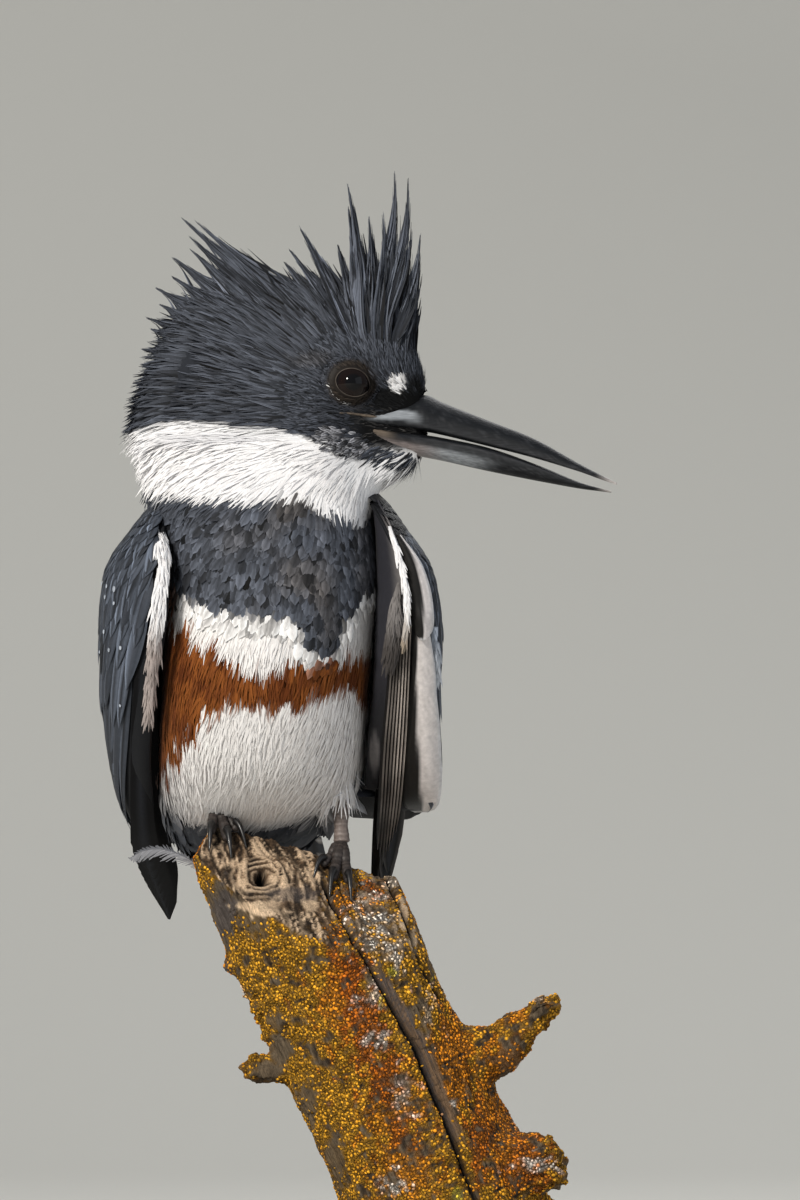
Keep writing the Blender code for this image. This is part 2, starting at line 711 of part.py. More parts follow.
def legs(trunk):
    """Both legs with their claws, and the pockets in the belly that they come out of."""
    for label, leg in LEGS.items():
        side = 1 if label == "left" else -1
        foot = Vector((*leg["foot"], 0)) * MM
        ankle = Vector(leg["ankle"]) * MM
        thigh = Vector(leg["thigh"]) * MM
        sole = on_break(foot.x, foot.y, TARSUS_RADIUS + SOLE_LIFT)
        radii = [TARSUS_RADIUS * thick for thick in TARSUS_PROFILE]
        limb = tube(f"leg_{label}", [sole, sole.lerp(ankle, 0.5), ankle, thigh], radii, "skin")
        for toe, turn, length, slim in TOES:
            heading = math.radians(leg["turn"] + side * turn)
            points, toe_radii = toe_points(foot, heading, length * MM, slim)
            limb = boolean(limb, tube("toe", points, toe_radii, "skin"), "UNION")
            ahead = Vector((math.sin(heading), -math.cos(heading), 0))
            end = foot + ahead * (length * MM + CLAW_START)
            tip = claw(f"claw_{label}_{toe}", Vector((end.x, end.y, 0)), ahead)
            trunk = boolean(trunk, inflated(tip, GAP), "DIFFERENCE")
        trunk = boolean(trunk, inflated(limb, GAP), "DIFFERENCE")
    keep_largest(trunk)


# --- branch and stand ---------------------------------------------------------------------------------
def branch_stub(places, radii):
    """A broken side branch, thick where it leaves the main one."""
    points = [Vector(place) * MM for place in places]
    return tube("stub", points, [r * MM for r in radii], "bark", 3)


def perch():
    """The branch: a slightly lumpy round, broken off aslant at the top and sawn level below."""
    along = (BRANCH_HEAD - BRANCH_FOOT).normalized()
    start, end = BRANCH_FOOT - along * BRANCH_SPARE[0], BRANCH_HEAD + along * BRANCH_SPARE[1]
    side = along.cross(Vector((0, 1, 0))).normalized()
    front = side.cross(along)
    rings = []
    for row in range(BRANCH_RINGS):
        share = row / (BRANCH_RINGS - 1)
        ring = []
        for i in range(BRANCH_SIDES):
            angle = 2 * math.pi * i / BRANCH_SIDES
            lump = 0.045 * math.sin(3 * angle + 2.2 * share) + 0.03 * math.sin(5 * angle - 9 * share + 1)
            thick = BRANCH_RADIUS[0] + (BRANCH_RADIUS[1] - BRANCH_RADIUS[0]) * share
            radius = thick * (1 + lump + 0.02 * math.sin(11 * share))
            ring.append(start.lerp(end, share) + (side * math.cos(angle) + front * math.sin(angle)) * radius)
        rings.append(ring)
    made = loft("perch_whole", rings, "bark")
    for *places, radii in BRANCH_STUBS:
        made = boolean(made, branch_stub(places, radii), "UNION")
    planes = [(RIDGE_POINT, normal) for normal in break_normals()]
    planes += [(CORNER_POINT, CORNER_NORMAL), (BRANCH_FOOT, Vector((0, 0, -1)))]
    cut = kept_side(made, "perch", planes, "bark")
    bpy.data.objects.remove(made)
    return cut


def stand():
    """A round base with an eased edge, and the rod that carries the branch."""
    bpy.ops.mesh.primitive_cylinder_add(
        vertices=BASE_SIDES, radius=BASE_RADIUS, depth=BASE_THICK, location=(0, 0, BASE_THICK / 2)
    )
    base = bpy.context.object
    base.name = "stand_base"
    base.data.materials.append(material("stand"))
    ease = base.modifiers.new("ease", "BEVEL")
    ease.width = BASE_EDGE
    ease.segments = 1
    ease.limit_method = "ANGLE"
    low, high = BASE_THICK + GAP, BRANCH_FOOT.z - GAP
    bpy.ops.mesh.primitive_cylinder_add(
        vertices=ROD_SIDES, radius=ROD_RADIUS, depth=high - low,
        location=(BRANCH_FOOT.x - ROD_SHIFT, BRANCH_FOOT.y, (low + high) / 2),
    )
    rod = bpy.context.object
    rod.name = "stand_rod"
    rod.data.materials.append(material("steel"))


def main():
    for old in list(bpy.data.objects):
        bpy.data.objects.remove(old)
    head, neck, trunk = head_parts(whole_body())
    head = eyes(head)
    for name, rows, upper in (("bill_upper", BILL_UPPER, True), ("bill_lower", BILL_LOWER, False)):
        half = bill_half(name, rows, upper)
        head = boolean(head, inflated(half, GAP), "DIFFERENCE")
    keep_largest(head)
    wings(trunk, neck)
    tail(trunk)
    trunk = boolean(trunk, inflated(perch(), GAP), "DIFFERENCE")
    legs(trunk)
    stand()
    parts = bpy.data.collections.new("kingfisher")
    bpy.context.scene.collection.children.link(parts)
    for made in list(bpy.context.scene.collection.objects):
        bpy.context.scene.collection.objects.unlink(made)
        if made.hide_render:
            bpy.data.objects.remove(made)
        else:
            parts.objects.link(made)


main()
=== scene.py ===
# %% [markdown]
# # A belted kingfisher, feather by feather
# This lesson dresses a solid model of a female belted kingfisher, about 33 cm long, with a shaggy crest
# and a dagger of a bill. The solids have their true sizes and places. What is missing is what a
# bird-watcher looks at: feathers, the wet-looking eye, the horn of the bill, and the branch's lichen.

# %% Load the fixed frame
import json
import math

import bmesh
import bpy
import numpy as np
from mathutils import Matrix, Vector, noise
from mathutils.bvhtree import BVHTree

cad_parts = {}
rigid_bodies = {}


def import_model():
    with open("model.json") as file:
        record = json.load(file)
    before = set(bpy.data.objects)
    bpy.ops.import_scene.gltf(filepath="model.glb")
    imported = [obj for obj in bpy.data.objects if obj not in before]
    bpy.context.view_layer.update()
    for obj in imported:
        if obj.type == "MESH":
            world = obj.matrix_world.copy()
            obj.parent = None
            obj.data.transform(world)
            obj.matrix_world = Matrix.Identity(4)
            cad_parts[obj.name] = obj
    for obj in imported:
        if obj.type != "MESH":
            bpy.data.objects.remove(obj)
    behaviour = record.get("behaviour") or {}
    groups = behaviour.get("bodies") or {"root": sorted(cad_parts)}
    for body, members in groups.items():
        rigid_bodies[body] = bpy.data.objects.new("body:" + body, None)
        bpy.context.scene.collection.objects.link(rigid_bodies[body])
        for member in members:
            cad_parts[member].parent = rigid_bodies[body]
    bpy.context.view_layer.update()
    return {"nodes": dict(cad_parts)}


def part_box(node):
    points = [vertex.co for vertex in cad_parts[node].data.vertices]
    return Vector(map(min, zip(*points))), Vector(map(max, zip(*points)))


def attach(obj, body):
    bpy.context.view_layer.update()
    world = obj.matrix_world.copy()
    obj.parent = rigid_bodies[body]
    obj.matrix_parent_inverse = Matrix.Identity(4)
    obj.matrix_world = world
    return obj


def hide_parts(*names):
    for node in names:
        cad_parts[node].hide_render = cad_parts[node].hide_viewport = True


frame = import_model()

MM = 0.001
scene = bpy.context.scene

# %% [markdown]
# ## The view
# A long lens from four metres away flattens the bird as a telephoto does. The camera looks level along +Y,
# so the stand stays just under the picture, and the sensor's height is fitted, as the picture is upright.

# %% Camera
VIEW_HEIGHT = 327.6 * MM          # what the upright picture takes in, at the bird
VIEW_MIDDLE = (16.4 * MM, 219.8 * MM)
VIEW_DISTANCE = 4.0
SENSOR = 36.0

camera_data = bpy.data.cameras.new("camera")
camera_data.sensor_fit = "VERTICAL"
camera_data.sensor_height = SENSOR
camera_data.lens = SENSOR * VIEW_DISTANCE / VIEW_HEIGHT
camera_data.clip_end = 50
camera = bpy.data.objects.new("camera", camera_data)
camera.location = (VIEW_MIDDLE[0], -VIEW_DISTANCE, VIEW_MIDDLE[1])
camera.rotation_euler = (math.radians(90), 0, 0)
scene.collection.objects.link(camera)
scene.camera = camera
print("lens", round(camera_data.lens, 1), "mm")

# %% [markdown]
# ## A plain studio
# A pale floor curves up into a wall, so no horizon cuts the picture. A large lamp up to the left plays the
# sun, and a weak one opposite and a pale sky keep the shadows readable. The wall is clear from behind, so
# the bird can be looked at from there too.

# %% Floor, backdrop and lamps
FLOOR_WIDTH = 6.0
FLOOR_FRONT, FLOOR_BACK = -6.0, 1.6
SWEEP_RADIUS, SWEEP_STEPS = 0.9, 24
SWEEP_HEIGHT = 4.0
PAPER = (0.62, 0.61, 0.57)
SKY, SKY_STRENGTH = (0.75, 0.82, 0.92), 0.30
LAMP_AIM = Vector((0, 0, 0.22))
# name, place, size in metres, watts and colour
LAMPS = (
    ("lamp_sun", (-1.5, -2.6, 1.9), 0.38, 104, (1.0, 0.955, 0.88)),
    ("lamp_fill", (2.2, -1.6, 0.9), 2.2, 10, (0.86, 0.92, 1.0)),
    ("lamp_back", (0.6, 1.3, 1.4), 1.0, 12, (1.0, 1.0, 1.0)),
)


def link(obj):
    scene.collection.objects.link(obj)
    return obj


def plain_material(name, colour, roughness):
    made = bpy.data.materials.new(name)
    made.use_nodes = True
    shader = made.node_tree.nodes["Principled BSDF"]
    shader.inputs["Base Color"].default_value = (*colour, 1)
    shader.inputs["Roughness"].default_value = roughness
    return made


def clear_from_behind(made):
    """Makes a sheet's back clear, so that a camera behind the wall still sees the bird."""
    nodes, links = made.node_tree.nodes, made.node_tree.links
    either = nodes.new("ShaderNodeMixShader")
    links.new(nodes.new("ShaderNodeNewGeometry").outputs["Backfacing"], either.inputs[0])
    links.new(nodes["Principled BSDF"].outputs[0], either.inputs[1])
    links.new(nodes.new("ShaderNodeBsdfTransparent").outputs[0], either.inputs[2])
    links.new(either.outputs[0], nodes["Material Output"].inputs["Surface"])
    return made


def sweep():
    """Floor and wall as one sheet with a quarter-round between them."""
    profile = [(FLOOR_FRONT, 0.0), (FLOOR_BACK, 0.0)]
    for i in range(1, SWEEP_STEPS + 1):
        turn = math.pi / 2 * i / SWEEP_STEPS
        profile.append((FLOOR_BACK + SWEEP_RADIUS * math.sin(turn), SWEEP_RADIUS * (1 - math.cos(turn))))
    profile.append((FLOOR_BACK + SWEEP_RADIUS, SWEEP_HEIGHT))
    verts = [(x, y, z) for y, z in profile for x in (-FLOOR_WIDTH, FLOOR_WIDTH)]
    faces = [(2 * i, 2 * i + 1, 2 * i + 3, 2 * i + 2) for i in range(len(profile) - 1)]
    mesh = bpy.data.meshes.new("studio_floor")
    mesh.from_pydata(verts, [], faces)
    mesh.shade_smooth()
    mesh.materials.append(clear_from_behind(plain_material("studio_paper", PAPER, 0.9)))
    return link(bpy.data.objects.new("studio_floor", mesh))


def lamp(name, place, size, watts, colour):
    data = bpy.data.lights.new(name, "AREA")
    data.size, data.energy, data.color = size, watts, colour
    made = bpy.data.objects.new(name, data)
    made.location = place
    made.rotation_euler = (LAMP_AIM - made.location).to_track_quat("-Z", "Y").to_euler()
    return link(made)


sweep()
for row in LAMPS:
    lamp(*row)
world = bpy.data.worlds.new("studio")
world.use_nodes = True
sky = world.node_tree.nodes["Background"].inputs
sky["Color"].default_value = (*SKY, 1)
sky["Strength"].default_value = SKY_STRENGTH
scene.world = world
scene.view_settings.view_transform = "Standard"
print("studio floor and", len(LAMPS), "lamps")

# %% [markdown]
# ## Small tools
# Most pieces are sheets of quads built from numpy arrays, which is fast enough for tens of thousands of
# feathers. Every vertex carries its own colour, so the pattern of the plumage is a plain function of place.

# %% Helpers for vectors, noise and meshes


def unit(v):
    return v / np.maximum(np.linalg.norm(v, axis=-1, keepdims=True), 1e-12)


def square_to(v, axis):
    """The part of each vector at right angles to a unit axis, made one long."""
    return unit(v - axis * (v * axis).sum(-1, keepdims=True))


def grain(points, size, shift=0.0):
    """Smooth noise from -1 to 1 at each point; size is the width of its lumps in metres."""
    flat = np.asarray(points).reshape(-1, 3) / size + shift
    return np.array([noise.noise(p) for p in flat]).reshape(np.shape(points)[:-1])


def mix(a, b, share):
    """From a to b, number by number."""
    return a * (1 - share) + b * share


def dye(a, b, share):
    """From colour a to colour b, with one share for each point."""
    share = np.asarray(share)[..., None]
    return np.asarray(a) * (1 - share) + np.asarray(b) * share


def ramp(value, low, high):
    """0 below low, 1 above high, and smooth between them."""
    t = np.clip((np.asarray(value, float) - low) / (high - low), 0, 1)
    return t * t * (3 - 2 * t)


def curve_through(value, points):
    """A polyline y(x) through points, read at value, with flat ends."""
    xs, ys = zip(*points)
    return np.interp(value, xs, ys)


def smooth_rows(rows, count):
    """count rows spread evenly along a smooth Catmull-Rom line through the given ones."""
    rows = np.asarray(rows, float)
    padded = np.vstack([2 * rows[0] - rows[1], rows, 2 * rows[-1] - rows[-2]])
    place = np.linspace(0, len(rows) - 1, count)
    cell = np.minimum(place.astype(int), len(rows) - 2)
    u = (place - cell)[:, None]
    p, q, r, s = (padded[cell + k] for k in range(4))
    return q + 0.5 * u * (r - p + u * (2 * p - 5 * q + 4 * r - s + u * (3 * q - p - 3 * r + s)))


def sheet_mesh(name, points, colours, finish, vane_uv=None, bake_uv=None, wrap=False):
    """Many quad sheets in one mesh. points is (sheets, rows, columns, 3), and so are the colours."""
    n, rows, cols, _ = points.shape
    index = np.arange(n * rows * cols).reshape(n, rows, cols)
    if wrap:
        index = np.concatenate([index, index[:, :, :1]], axis=2)
    quads = np.stack([index[:, :-1, :-1], index[:, :-1, 1:], index[:, 1:, 1:], index[:, 1:, :-1]], axis=-1)
    quads = quads.reshape(-1, 4)
    mesh = bpy.data.meshes.new(name)
    mesh.vertices.add(n * rows * cols)
    mesh.vertices.foreach_set("co", points.astype(np.float32).ravel())
    mesh.loops.add(quads.size)
    mesh.loops.foreach_set("vertex_index", quads.astype(np.int32).ravel())
    mesh.polygons.add(len(quads))
    mesh.polygons.foreach_set("loop_start", np.arange(0, quads.size, 4, dtype=np.int32))
    mesh.update(calc_edges=True)
    for uv_name, uv in (("OFBake", bake_uv), ("Vane", vane_uv)):
        if uv is not None:
            layer = mesh.uv_layers.new(name=uv_name)
            layer.data.foreach_set("uv", uv.reshape(-1, 2)[quads.ravel()].astype(np.float32).ravel())
    paint(mesh, colours.reshape(-1, 3))
    mesh.shade_smooth()
    mesh.materials.append(finish)
    return link(bpy.data.objects.new(name, mesh))


def paint(mesh, colours, name="Tint"):
    """Gives every vertex its own colour."""
    layer = mesh.color_attributes.new(name=name, type="FLOAT_COLOR", domain="POINT")
    full = np.concatenate([np.clip(colours, 0, 1), np.ones((len(colours), 1))], axis=1)
    layer.data.foreach_set("color", full.astype(np.float32).ravel())


def vertex_array(mesh, field="co"):
    out = np.zeros(len(mesh.vertices) * 3, np.float32)
    mesh.vertices.foreach_get(field, out)
    return out.reshape(-1, 3).astype(float)


def move_vertices(mesh, at):
    mesh.vertices.foreach_set("co", at.astype(np.float32).ravel())
    mesh.update()


def dress(mesh, finish):
    mesh.materials.clear()
    mesh.materials.append(finish)


def baked(obj):
    """Turns an object with modifiers into a plain mesh object of the same name."""
    bpy.context.view_layer.update()
    mesh = bpy.data.meshes.new_from_object(obj.evaluated_get(bpy.context.evaluated_depsgraph_get()))
    name = obj.name
    bpy.data.objects.remove(obj)
    mesh.name = name
    return link(bpy.data.objects.new(name, mesh))


def settle(obj, slot, *nodes):
    """Hangs a finished piece on the body, and hides the solids that it stands for."""
    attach(obj, "root")
    if nodes:
        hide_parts(*nodes)
    print(f"{obj.name}: {len(obj.data.polygons)} faces")
    return obj


# %% Helpers for materials


def node(tree, kind, inputs=(), **settings):
    """Adds a node to a tree. An input given as a socket is linked, and any other is set."""
    made = tree.nodes.new(kind)
    for key, value in settings.items():
        setattr(made, key, value)
    for key, value in dict(inputs).items():
        if isinstance(value, bpy.types.NodeSocket):
            tree.links.new(value, made.inputs[key])
        else:
            made.inputs[key].default_value = value
    return made


def grit(tree, scale, detail=4.0, distortion=0.0, vector=None):
    """Noise on the object's own coordinates; scale is the number of lumps in a metre, each way."""
    vector = vector or node(tree, "ShaderNodeTexCoord").outputs["Object"]
    stretch = node(tree, "ShaderNodeMapping", {"Vector": vector, "Scale": scale}).outputs[0]
    look = {"Vector": stretch, "Scale": 1.0, "Detail": detail, "Distortion": distortion}
    return node(tree, "ShaderNodeTexNoise", look).outputs["Fac"]


def span(tree, value, low, high, start=0.3, end=0.7):
    """Carries a value from start..end to low..high."""
    ends = {"Value": value, "From Min": start, "From Max": end, "To Min": low, "To Max": high}
    return node(tree, "ShaderNodeMapRange", ends).outputs[0]


def maths(tree, operation, *values):
    return node(tree, "ShaderNodeMath", dict(enumerate(values)), operation=operation).outputs[0]


def scaled_colour(tree, colour, factor):
    return node(tree, "ShaderNodeVectorMath", {0: colour, "Scale": factor}, operation="SCALE").outputs[0]


def give(tree, socket, name):
    """Links a socket to the shader's input of that name."""
    tree.links.new(socket, tree.nodes["Principled BSDF"].inputs[name])


def give_bump(tree, height, strength, distance=0.2 * MM):
    lift = node(tree, "ShaderNodeBump", {"Height": height, "Strength": strength, "Distance": distance})
    give(tree, lift.outputs["Normal"], "Normal")


def tint_material(name, roughness, bump=0.0, bump_scale=(900, 900, 900), sheen=0.0, mottling=0.12,
                  coat=0.0, specular=0.5, barbs=0):
    """A surface that takes its colour from the Tint attribute, broken up by fine grain and bump."""
    made = plain_material(name, (0.5, 0.5, 0.5), roughness)
    tree = made.node_tree
    own = {"Sheen Weight": sheen, "Sheen Roughness": 0.4, "Coat Weight": coat, "Coat Roughness": 0.08,
           "Specular IOR Level": specular}
    for key, value in own.items():
        tree.nodes["Principled BSDF"].inputs[key].default_value = value
    tint = node(tree, "ShaderNodeAttribute", attribute_name="Tint").outputs["Color"]
    grains = grit(tree, bump_scale)
    give(tree, scaled_colour(tree, tint, span(tree, grains, 1 - mottling, 1 + mottling)), "Base Color")
    if bump:
        give_bump(tree, barb_ridges(tree, barbs) if barbs else grains, bump)
    return made


def barb_ridges(tree, count):
    """Fine slanting ridges on both sides of a feather's shaft, from its own map of across and along."""
    own = node(tree, "ShaderNodeUVMap", uv_map="Vane").outputs["UV"]
    split = node(tree, "ShaderNodeSeparateXYZ", {"Vector": own})
    beside = maths(tree, "ABSOLUTE", split.outputs["X"])
    slanted = maths(tree, "MULTIPLY_ADD", beside, -0.35, split.outputs["Y"])
    return maths(tree, "SINE", maths(tree, "MULTIPLY", slanted, count * 2 * math.pi))


skin_material = tint_material("skin_down", 0.9, 0.4, (1500, 1500, 1500), specular=0.15)
plume_material = tint_material("plume", 0.72, 0.35, (2500, 2500, 900), sheen=0.04, specular=0.2)
hand_material = tint_material("black_vane", 0.7, 0.2, mottling=0.1, specular=0.1, barbs=60)
silk_material = tint_material("silky_down", 0.8, 0.2, (3000, 3000, 800), sheen=0.05, mottling=0.08,
                              specular=0.25)
vane_material = tint_material("flight_vane", 0.5, 0.25, sheen=0.02, mottling=0.1, specular=0.2, barbs=60)
print("plumage materials ready")

# %% [markdown]
# ## Where things are
# The bird stands a little turned, and its head is turned further. Two functions carry a place from the
# bird's own square frame into the world, one for the body and one for the head.

# %% Frames of the body and of the head
MIDLINE_X = -18.6
BODY_YAW = math.radians(-5)
HEAD_YAW = math.radians(-8)
HEAD_PIVOT_X = -20.0


def turned(points, yaw, pivot_x):
    x, y, z = points[..., 0] - pivot_x, points[..., 1], points[..., 2]
    c, s = math.cos(yaw), math.sin(yaw)
    return np.stack([c * x - s * y + pivot_x, s * x + c * y, z], axis=-1)


def body_place(points):
    """From the body's frame, in millimetres with X counted from the midline, to the world in metres."""
    points = np.asarray(points, float) + (MIDLINE_X, 0, 0)
    return turned(points, BODY_YAW, MIDLINE_X) * MM


def body_frame(points):
    """The other way: world metres to millimetres in the body's frame."""
    return turned(np.asarray(points) / MM, -BODY_YAW, MIDLINE_X) - (MIDLINE_X, 0, 0)


def head_place(points):
    return turned(np.asarray(points, float), HEAD_YAW, HEAD_PIVOT_X) * MM


def head_frame(points):
    return turned(np.asarray(points) / MM, -HEAD_YAW, HEAD_PIVOT_X)


eye_right, eye_left = ((low + high) / 2 for low, high in map(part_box, ("eye_right", "eye_left")))
EYE_RADIUS = (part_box("eye_left")[1].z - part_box("eye_left")[0].z) / 2
print("eyes at", [round(v / MM, 1) for v in eye_right], [round(v / MM, 1) for v in eye_left])

# %% [markdown]
# ## The skin
# Under the feathers lies one unbroken skin. The solids of the trunk, neck, head and crest are copied,
# swollen until they overlap, and melted into one form with a voxel remesh. Then the skin sinks inwards by
# the depth of the coat. The locks of the crest are cut off first, because they are feathers only.

# %% Melt the solids into one skin
FLESH = ("trunk", "neck", "head", "crest")
SWELL = 0.5 * MM
SKIN_VOXEL = 1.4 * MM
SKIN_SMOOTHING = 14
CROWN = ((-60, 268), (-45, 297), (-32, 305), (-8, 307), (12, 302), (20, 291), (27, 272))


def copied_node(name):
    """A merged copy of a solid. The frame's own mesh is loose triangles, so their corners are joined."""
    bm = bmesh.new()
    bm.from_mesh(frame["nodes"][name].data)
    bmesh.ops.remove_doubles(bm, verts=bm.verts, dist=1e-6)
    return bm


def trim_crown(bm):
    """Cuts the crest's locks off along the crown's own profile."""
    for (x0, z0), (x1, z1) in zip(CROWN, CROWN[1:]):
        start = Vector(head_place((x0, 0, z0)))
        along = Vector(head_place((x1, 0, z1))) - start
        outward = Vector((-along.z, 0, along.x)).normalized()
        everything = bm.verts[:] + bm.edges[:] + bm.faces[:]
        cut = bmesh.ops.bisect_plane(bm, geom=everything, dist=1e-7, plane_co=start, plane_no=outward,
                                     clear_outer=True)["geom_cut"]
        edges = [e for e in cut if isinstance(e, bmesh.types.BMEdge)]
        bmesh.ops.triangle_fill(bm, edges=edges, use_beauty=True, use_dissolve=False)


def joined_nodes(names, name):
    whole = bmesh.new()
    for node_name in names:
        bm = copied_node(node_name)
        if node_name == "crest":
            trim_crown(bm)
        bmesh.ops.recalc_face_normals(bm, faces=bm.faces)
        part = bpy.data.meshes.new(node_name)
        bm.to_mesh(part)
        bm.free()
        whole.from_mesh(part)
        bpy.data.meshes.remove(part)
    mesh = bpy.data.meshes.new(name)
    whole.to_mesh(mesh)
    whole.free()
    return link(bpy.data.objects.new(name, mesh))


def keep_biggest_shell(obj):
    """Drops small closed bubbles that a remesh leaves inside a gap."""
    bm = bmesh.new()
    bm.from_mesh(obj.data)
    left, shells = set(bm.verts), []
    while left:
        shell, front = set(), [left.pop()]
        while front:
            v = front.pop()
            shell.add(v)
            near = {e.other_vert(v) for e in v.link_edges} & left
            left -= near
            front += near
        shells.append(shell)
    shells.sort(key=len)
    for shell in shells[:-1]:
        bmesh.ops.delete(bm, geom=list(shell), context="VERTS")
    bm.to_mesh(obj.data)
    bm.free()


def melted(names, name, swell, voxel, smoothing):
    """One closed form of several solids: joined, swollen, remeshed and smoothed."""
    obj = joined_nodes(names, name)
    grow = obj.modifiers.new("grow", "DISPLACE")
    grow.strength, grow.mid_level = swell, 0.0
    melt = obj.modifiers.new("melt", "REMESH")
    melt.mode, melt.voxel_size = "VOXEL", voxel
    calm = obj.modifiers.new("calm", "SMOOTH")
    calm.factor, calm.iterations = 0.5, smoothing
    made = baked(obj)
    keep_biggest_shell(made)
    return made


skin = melted(FLESH, "skin", SWELL, SKIN_VOXEL, SKIN_SMOOTHING)
print("skin:", len(skin.data.vertices), "points")

# %% [markdown]
# The coat is shallow on the face, deeper on the neck and deepest on the belly, where the down is fluffy.

# %% Sink the skin under the coat
COAT_DEPTH_FACE = 0.9
COAT_DEPTH_NECK = 2.6
COAT_DEPTH_BODY = 2.2
MOUTH_START, MOUTH_END = 2.0, 18.0       # the face is drawn in between these, counted ahead
MOUTH_LOW, MOUTH_HIGH = 257.0, 279.0     # and between these heights
MOUTH_NARROWING = 0.34


def band(z, low, high, blur=0.8):
    """1 between two levels and 0 outside them, with soft ends."""
    return ramp(z, low - blur, low + blur) * (1 - ramp(z, high - blur, high + blur))


def face_share(points):
    """1 on the face round the bill and the eyes, 0 behind the cheeks."""
    local = head_frame(points)
    away = np.hypot(local[..., 0] - 16, (local[..., 2] - 271) * 1.1)
    return 1 - ramp(away, 16, 34)


def coat_depth(points):
    """Depth of the feathers over the skin, in metres."""
    z = points[..., 2] / MM
    depth = mix(COAT_DEPTH_BODY, COAT_DEPTH_NECK, ramp(z, 236, 250))
    return mix(depth, COAT_DEPTH_FACE, face_share(points)) * MM


def narrowed(at):
    """Draws the face in round the bill's base, so that the bill's sides stand clear of the feathers."""
    local = head_frame(at)
    share = np.clip((local[:, 0] - MOUTH_START) / (MOUTH_END - MOUTH_START), 0, 1)
    share = share * band(local[:, 2], MOUTH_LOW, MOUTH_HIGH, 5.0)
    local[:, 1] *= 1 - MOUTH_NARROWING * share
    return head_place(local)


solid_at = vertex_array(skin.data)
sink_by = SWELL + coat_depth(solid_at)
move_vertices(skin.data, solid_at - vertex_array(skin.data, "normal") * sink_by[:, None])
move_vertices(skin.data, narrowed(vertex_array(skin.data)))
skin.modifiers.new("calm", "SMOOTH").iterations = 3
skin = baked(skin)
skin.data.shade_smooth()
skin_at = vertex_array(skin.data)
print("skin box", np.round(skin_at.min(0), 4), np.round(skin_at.max(0), 4))

# %% [markdown]
# The skin is unwrapped once. Later each tuft gets a tiny patch of the same map at the place of its root,
# so skin and coat can share baked colours.

# %% Unwrap the skin
skin.data.uv_layers.new(name="OFBake")
bpy.context.view_layer.objects.active = skin
skin.select_set(True)
bpy.ops.object.mode_set(mode="EDIT")
bpy.ops.mesh.select_all(action="SELECT")
bpy.ops.uv.smart_project(angle_limit=math.radians(66), island_margin=0.004)
bpy.ops.object.mode_set(mode="OBJECT")
skin.select_set(False)
print("unwrapped", len(skin.data.polygons), "faces")

# %% [markdown]
# ## The markings
# One function paints the whole bird: it takes a place and returns the colour of the plumage there, and some
# painted shade low on the belly. Each border is a short line of heights across the breast. Skin and tufts use
# the same function, so they always agree. A feather asks at its tip, not at its root, which makes the borders
# ragged as real ones are.

# %% Borders and colours of the plumage
SLATE = (0.070, 0.078, 0.098)
SLATE_DARK = (0.022, 0.024, 0.030)
SLATE_BROWN = (0.098, 0.086, 0.078)
WHITE = (0.90, 0.89, 0.90)
BELLY_WHITE = (0.88, 0.855, 0.845)
RUFOUS, RUFOUS_BRIGHT = (0.135, 0.032, 0.004), (0.265, 0.078, 0.012)
BELLY_SHADE_GREY = (0.22, 0.215, 0.23)
BLACK = (0.008, 0.008, 0.009)
EYE_BROWN = (0.026, 0.020, 0.016)

COLLAR_TOP = ((-60, 264), (-56, 266), (-41, 268.5), (-27, 266.5), (-11, 265), (-4, 262.5), (0, 259.5),
              (4, 259), (9, 262.5), (30, 262.5))
COLLAR_LOW = ((-60, 250), (-48, 247.6), (-34, 246.3), (-25, 245.5), (-9.5, 246), (-4.5, 242), (0, 240.5),
              (6, 239), (9, 243.5), (16, 245))
BREAST_LOW = ((-52, 226), (-46, 222.5), (-39, 218.2), (-33, 215.7), (-22, 214.1), (-12.3, 214.1),
              (-10.3, 210.5), (-9, 206), (-4.4, 203.8), (-0.8, 205), (0.5, 212.4), (6.8, 220.6), (12, 223))
RUFOUS_TOP = ((-52, 214), (-46, 213.8), (-42, 213.0), (-33, 205.0), (-28.4, 200.0), (-20.5, 199.6),
              (-13, 201.4), (-4.4, 202.9), (3.5, 203.7), (14, 206))
RUFOUS_LOW = ((-53, 160), (-49.5, 167), (-46, 173.4), (-43.5, 178), (-38.8, 185.2), (-32.5, 188.0),
              (-30.8, 191.5), (-25, 190), (-12.3, 190), (-6.8, 192.0), (3.5, 194.8), (8.5, 186.2), (14, 184))


# places on the head, as x and z in its frame
RING_AT, LORES_AT, SPOT_AT = (4.6, 278.8), (16, 274.2), (16.9, 278.9)


